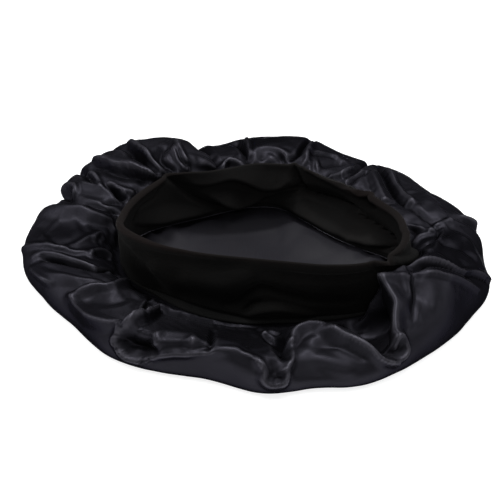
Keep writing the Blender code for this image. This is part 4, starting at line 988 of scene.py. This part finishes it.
class Nodes:
    """Short calls for building a material's nodes."""

    def __init__(self, name):
        self.material = bpy.data.materials.new(name)
        self.material.use_nodes = True
        self.tree = self.material.node_tree
        self.shader = self.tree.nodes["Principled BSDF"]

    def add(self, kind, **settings):
        node = self.tree.nodes.new("ShaderNode" + kind)
        for key, value in settings.items():
            setattr(node, key, value)
        return node

    def feed(self, socket, value):
        """A link from another node's output, or the value itself. A colour has three shares."""
        if hasattr(value, "is_linked"):
            self.tree.links.new(value, socket)
        elif socket.type == "RGBA":
            socket.default_value = (*value, 1)
        else:
            socket.default_value = value

    def set(self, node, **values):
        for key, value in values.items():
            self.feed(node.inputs[key.replace("_", " ")], value)
        return node

    def flat(self):
        return self.add("UVMap", uv_map="flat").outputs["UV"]

    def here(self):
        return self.add("TexCoord").outputs["Object"]

    def stretched(self, source, scale):
        return self.set(self.add("Mapping"), Vector=source, Scale=scale).outputs["Vector"]

    def noise(self, vector, scale, detail=2.0, rough=0.5):
        node = self.set(self.add("TexNoise"), Vector=vector, Scale=scale, Detail=detail, Roughness=rough)
        return node.outputs["Fac"]

    def bands(self, vector, direction, spacing, **settings):
        node = self.add("TexWave", wave_type="BANDS", bands_direction=direction)
        return self.set(node, Vector=vector, Scale=1 / spacing / math.pi, **settings).outputs["Fac"]

    def ranged(self, value, low, high, to_low=0, to_high=1):
        node = self.set(self.add("MapRange"), Value=value, From_Min=low, From_Max=high)
        return self.set(node, To_Min=to_low, To_Max=to_high).outputs["Result"]

    def math(self, operation, a, b=0.0):
        node = self.add("Math", operation=operation)
        self.feed(node.inputs[0], a)
        self.feed(node.inputs[1], b)
        return node.outputs[0]

    def mixed(self, share, a, b):
        node = self.set(self.add("Mix", data_type="RGBA"), Factor=share)
        self.feed(node.inputs[6], a)
        self.feed(node.inputs[7], b)
        return node.outputs[2]

    def bump(self, height, strength, distance, before=None):
        node = self.set(self.add("Bump"), Height=height, Strength=strength, Distance=distance)
        if before is not None:
            self.feed(node.inputs["Normal"], before)
        return node.outputs["Normal"]


SATIN_DARK = (0.0172, 0.0167, 0.0206)
SATIN_PALE = (0.0240, 0.0233, 0.0290)
SATIN_PAINTED_HIGHLIGHT = (0.066, 0.064, 0.076)  # painted highlight: where the satin bends outward
SATIN_PAINTED_SHADE = (0.0080, 0.0078, 0.0096)  # painted shade: where it bends inward
SATIN_EDGE = (0.10, 0.10, 0.13)
SATIN_ROUGH = (0.42, 0.55)
SATIN_BACK = (0.0180, 0.0172, 0.0222)
SATIN_BACK_DARK = [share * 0.8 for share in SATIN_BACK]
PAINTED_HIGHLIGHT_BENDS = (0.522, 0.595)  # pointiness, 0.5 being flat, over which the painted highlight comes in
# pointiness over which the painted shade comes in
PAINTED_SHADE_BENDS = (0.49, 0.43)
FLOATS = (60, 1100, 1)  # noise a metre along and across the threads
SLUBS = (18, 420, 1)
CROSS_FLOATS = (900, 60, 1)  # on the satin's back

KNIT_DARK = (0.0034, 0.0034, 0.0033)
KNIT_BROWN = (0.0064, 0.0060, 0.0057)
KNIT_RIM = (0.0080, 0.0059, 0.0056)
KNIT_EDGE_DARK = (0.0070, 0.0070, 0.0070)
KNIT_EDGE = (0.0105, 0.0104, 0.0102)
# The inside of the band is painted paler than the outside: painted light, with wear in its browner shade.
KNIT_INSIDE_PAINTED_LIGHT = (0.0108, 0.0108, 0.0108)
KNIT_INSIDE_WORN_PAINTED_LIGHT = (0.0145, 0.0134, 0.0130)
RIB = 1.1 * MM  # from one upright rib of the knit to the next
ROW = 1.2 * RIB  # from one row of loops to the next
RIM_TINT = 7 * MM  # how far the rim's colour reaches inside at the left and right ends
BAND_FLAT = 0.56  # length of the band laid flat

FLOOR_SIZE = 40
FLOOR_DARK = (0.60, 0.60, 0.605)
FLOOR_PALE = (0.62, 0.62, 0.625)
FLOOR_GLOW = 0.80  # the floor is a pale sheet lit from below


def satin():
    """Blue-black satin: smooth floats along one thread direction, fine ribs across it, a painted highlight
    on its crests and painted shade in its creases.
    """
    n = Nodes("satin")
    flat = n.flat()
    here = n.here()
    cloudy = n.noise(here, 14.0, 3.0)
    threads = n.noise(n.stretched(flat, FLOATS), 1.0, 3.0, 0.6)
    slubs = n.noise(n.stretched(flat, SLUBS), 1.0, 2.0, 0.5)
    creases = n.noise(here, 90.0, 3.0, 0.6)
    grain = n.noise(here, 1000.0, 2.0, 0.6)
    bend = n.add("NewGeometry").outputs["Pointiness"]
    colour = n.mixed(n.ranged(cloudy, 0.35, 0.65), SATIN_DARK, SATIN_PALE)
    # Painted highlight where the satin bends outward, painted shade where it bends inward, both by
    # pointiness.
    colour = n.mixed(n.ranged(bend, *PAINTED_HIGHLIGHT_BENDS), colour, SATIN_PAINTED_HIGHLIGHT)
    colour = n.mixed(n.ranged(bend, *PAINTED_SHADE_BENDS), colour, SATIN_PAINTED_SHADE)
    uneven = n.ranged(cloudy, 0.3, 0.7, -0.03, 0.03)
    rough = n.math("ADD", n.ranged(threads, 0.3, 0.7, *SATIN_ROUGH), uneven)
    n.set(n.shader, Base_Color=colour, Roughness=rough)
    n.set(n.shader, Metallic=0.88, Specular_IOR_Level=0.0, Specular_Tint=SATIN_EDGE, Anisotropic=0.55)
    low = n.bump(creases, 0.10, 0.4 * MM)
    mid = n.bump(slubs, 0.05, 0.25 * MM, low)
    fine = n.bump(grain, 0.45, 0.15 * MM, mid)
    top = n.bump(threads, 0.12, 0.08 * MM, fine)
    tangent = n.add("Tangent", direction_type="UV_MAP", uv_map="flat").outputs["Tangent"]
    n.set(n.shader, Normal=top, Tangent=tangent)
    return n.material


def satin_back():
    """The duller side of the satin, seen inside the crown."""
    n = Nodes("satin_back")
    here = n.here()
    threads = n.noise(n.stretched(n.flat(), CROSS_FLOATS), 1.0, 3.0, 0.6)
    cloudy = n.noise(here, 16.0, 3.0)
    creases = n.noise(here, 70.0, 3.0, 0.6)
    colour = n.mixed(n.ranged(cloudy, 0.3, 0.7), SATIN_BACK_DARK, SATIN_BACK)
    n.set(n.shader, Base_Color=colour, Roughness=n.ranged(threads, 0.3, 0.7, 0.5, 0.62))
    n.set(n.shader, Specular_IOR_Level=0.2)
    n.set(n.shader, Normal=n.bump(threads, 0.15, 0.1 * MM, n.bump(creases, 0.15, 0.5 * MM)))
    return n.material


def knit(name, shades, rim=None):
    """Fine matt knit: upright ribs, rows of loops and a little fuzz, browner where it wears.

    rim: where the rim starts and ends on the flat cloth, across it. Beyond it is the inside, painted paler
    as painted light.
    """
    n = Nodes(name)
    flat = n.flat()
    here = n.here()
    ribs = n.bands(flat, "X", RIB, Distortion=0.6, Detail=2.0, Detail_Scale=2.0)
    rows = n.bands(flat, "Y", ROW, Distortion=0.8, Detail=1.0)
    fuzz = n.noise(here, 700.0, 3.0, 0.7)
    patches = n.noise(here, 22.0, 3.0, 0.6)
    height = n.math("ADD", n.math("MULTIPLY", ribs, rows), n.math("MULTIPLY", fuzz, 0.6))
    worn = n.math("MULTIPLY", n.ranged(patches, 0.35, 0.7, 0.2, 1), n.ranged(fuzz, 0.3, 0.8, 0.4, 1))
    colour = n.mixed(worn, *shades)
    if rim:
        colour = rim_tinted(n, flat, colour, worn, patches, *rim)
    n.set(n.shader, Base_Color=colour, Roughness=n.ranged(fuzz, 0.3, 0.7, 0.82, 0.95))
    n.set(n.shader, Specular_IOR_Level=0.04, Sheen_Weight=0.012, Sheen_Roughness=0.6)
    n.set(n.shader, Normal=n.bump(height, 0.35, 0.2 * MM))
    return n.material


def rim_tinted(n, flat, colour, worn, patches, rim_start, rim_end):
    """The band's colour with its inside painted paler as painted light and its browner rim, which is widest
    at both ends.
    """
    parts = n.set(n.add("SeparateXYZ"), Vector=flat)
    across = parts.outputs["Y"]
    # Painted light: the inside of the band is painted paler.
    painted_light_inside = n.ranged(across, rim_start, rim_end)
    colour = n.mixed(painted_light_inside, colour, n.mixed(worn, KNIT_INSIDE_PAINTED_LIGHT, KNIT_INSIDE_WORN_PAINTED_LIGHT))
    ends = n.math("COSINE", n.math("MULTIPLY", parts.outputs["X"], 2 * math.pi / BAND_FLAT))
    ends = n.ranged(n.math("ABSOLUTE", ends), 0.55, 0.95)
    start = n.ranged(across, rim_start - 3 * MM, rim_start - 0.5 * MM)
    past = n.math("SUBTRACT", across, n.ranged(ends, 0, 1, rim_end, rim_end + RIM_TINT))
    end = n.math("SUBTRACT", 1, n.ranged(past, -3 * MM, 1 * MM))
    tint = n.math("MULTIPLY", n.math("MULTIPLY", start, end), n.ranged(patches, 0.3, 0.65, 0.55, 1))
    tint = n.math("MULTIPLY", tint, n.ranged(ends, 0, 1, 0.45, 1))
    return n.mixed(tint, colour, KNIT_RIM)


def pale_floor():
    """A pale sheet, a little uneven and lit from below."""
    n = Nodes("pale_floor")
    speck = n.noise(n.here(), 120.0, 2.0)
    n.set(n.shader, Base_Color=n.mixed(speck, FLOOR_DARK, FLOOR_PALE), Roughness=0.75)
    n.set(n.shader, Emission_Color=(1, 1, 1), Emission_Strength=FLOOR_GLOW, Specular_IOR_Level=0.1)
    return n.material


crown = build_crown()
band, rim_range = build_band()
welt = build_welt()
crown.data.materials.append(satin())
crown.data.materials.append(satin_back())
band.data.materials.append(knit("knit", (KNIT_DARK, KNIT_BROWN), rim_range))
welt.data.materials.append(knit("knit_edge", (KNIT_EDGE_DARK, KNIT_EDGE)))
for piece, node, slot in (
    (crown, "crown", "satin_blue_black"),
    (band, "band", "knit_black"),
    (welt, "seam_welt", "knit_black_seam"),
):
    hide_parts(node)
    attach(piece, "root")

bpy.ops.mesh.primitive_plane_add(size=FLOOR_SIZE)
floor = bpy.context.object
floor.name = "studio_floor"
floor.data.materials.append(pale_floor())

# Suns, the same over all of the floor. way: towards the light. spread: degrees.
Sun = namedtuple("Sun", "name way strength spread")
SUNS = [
    Sun("overhead", (0.05, 0.0, 1.0), 1.15, 50),
    Sun("key", (-0.12, 0.12, 1.0), 1.1, 8),
]

# Softboxes, turned to the origin. Metres, and watts for each square metre and steradian.
Softbox = namedtuple("Softbox", "name place wide tall radiance")
SOFTBOXES = [
    Softbox("left", (-1.4, 0.2, 0.9), 0.7, 0.7, 5.2),
    Softbox("right", (1.4, 0.1, 0.9), 0.6, 0.6, 4.0),
    Softbox("front", (-0.15, -0.75, 1.6), 0.6, 0.6, 1.5),
    Softbox("fill", (0.1, -1.9, 1.25), 1.0, 0.6, 3.4),
]
WORLD_LEVELS = (0.10, 0.32)  # from the near side to the far side
WORLD_SPAN = 0.7  # how far to each side of level that change reaches
WORLD_COLOUR = (0.96, 0.97, 1.0, 1)


def studio_world():
    """A studio that is pale behind the bonnet and darker in front of it."""
    world = bpy.data.worlds.new("studio")
    bpy.context.scene.world = world
    world.use_nodes = True
    tree = world.node_tree
    way = tree.nodes.new("ShaderNodeTexCoord")
    parts = tree.nodes.new("ShaderNodeSeparateXYZ")
    ramp = tree.nodes.new("ShaderNodeMapRange")
    ramp.interpolation_type = "SMOOTHSTEP"
    levels = (-WORLD_SPAN, WORLD_SPAN, *WORLD_LEVELS)
    for socket, level in zip(("From Min", "From Max", "To Min", "To Max"), levels):
        ramp.inputs[socket].default_value = level
    background = tree.nodes["Background"]
    background.inputs["Color"].default_value = WORLD_COLOUR
    tree.links.new(way.outputs["Generated"], parts.inputs["Vector"])
    tree.links.new(parts.outputs["Y"], ramp.inputs["Value"])
    tree.links.new(ramp.outputs["Result"], background.inputs["Strength"])


def lamp(name, kind, place, energy):
    """A light at this place that shines towards the origin."""
    light = bpy.data.lights.new(name, kind)
    light.energy = energy
    obj = bpy.data.objects.new(name, light)
    obj.location = place
    obj.rotation_euler = obj.location.to_track_quat("Z", "Y").to_euler()
    bpy.context.scene.collection.objects.link(obj)
    return light


studio_world()
for sun in SUNS:
    lamp(sun.name, "SUN", sun.way, sun.strength).angle = math.radians(sun.spread)
for box in SOFTBOXES:
    light = lamp(box.name, "AREA", box.place, box.radiance * math.pi * box.wide * box.tall)
    light.shape = "RECTANGLE"
    light.size = box.wide
    light.size_y = box.tall

lens = bpy.data.cameras.new("camera")
lens.lens = LENS
lens.sensor_width = FILM
camera = bpy.data.objects.new("camera", lens)
camera.location = CAMERA
camera.rotation_euler = (math.radians(CAMERA_TILT), 0, 0)
bpy.context.scene.collection.objects.link(camera)
bpy.context.scene.camera = camera
bpy.context.scene.view_settings.view_transform = "Standard"
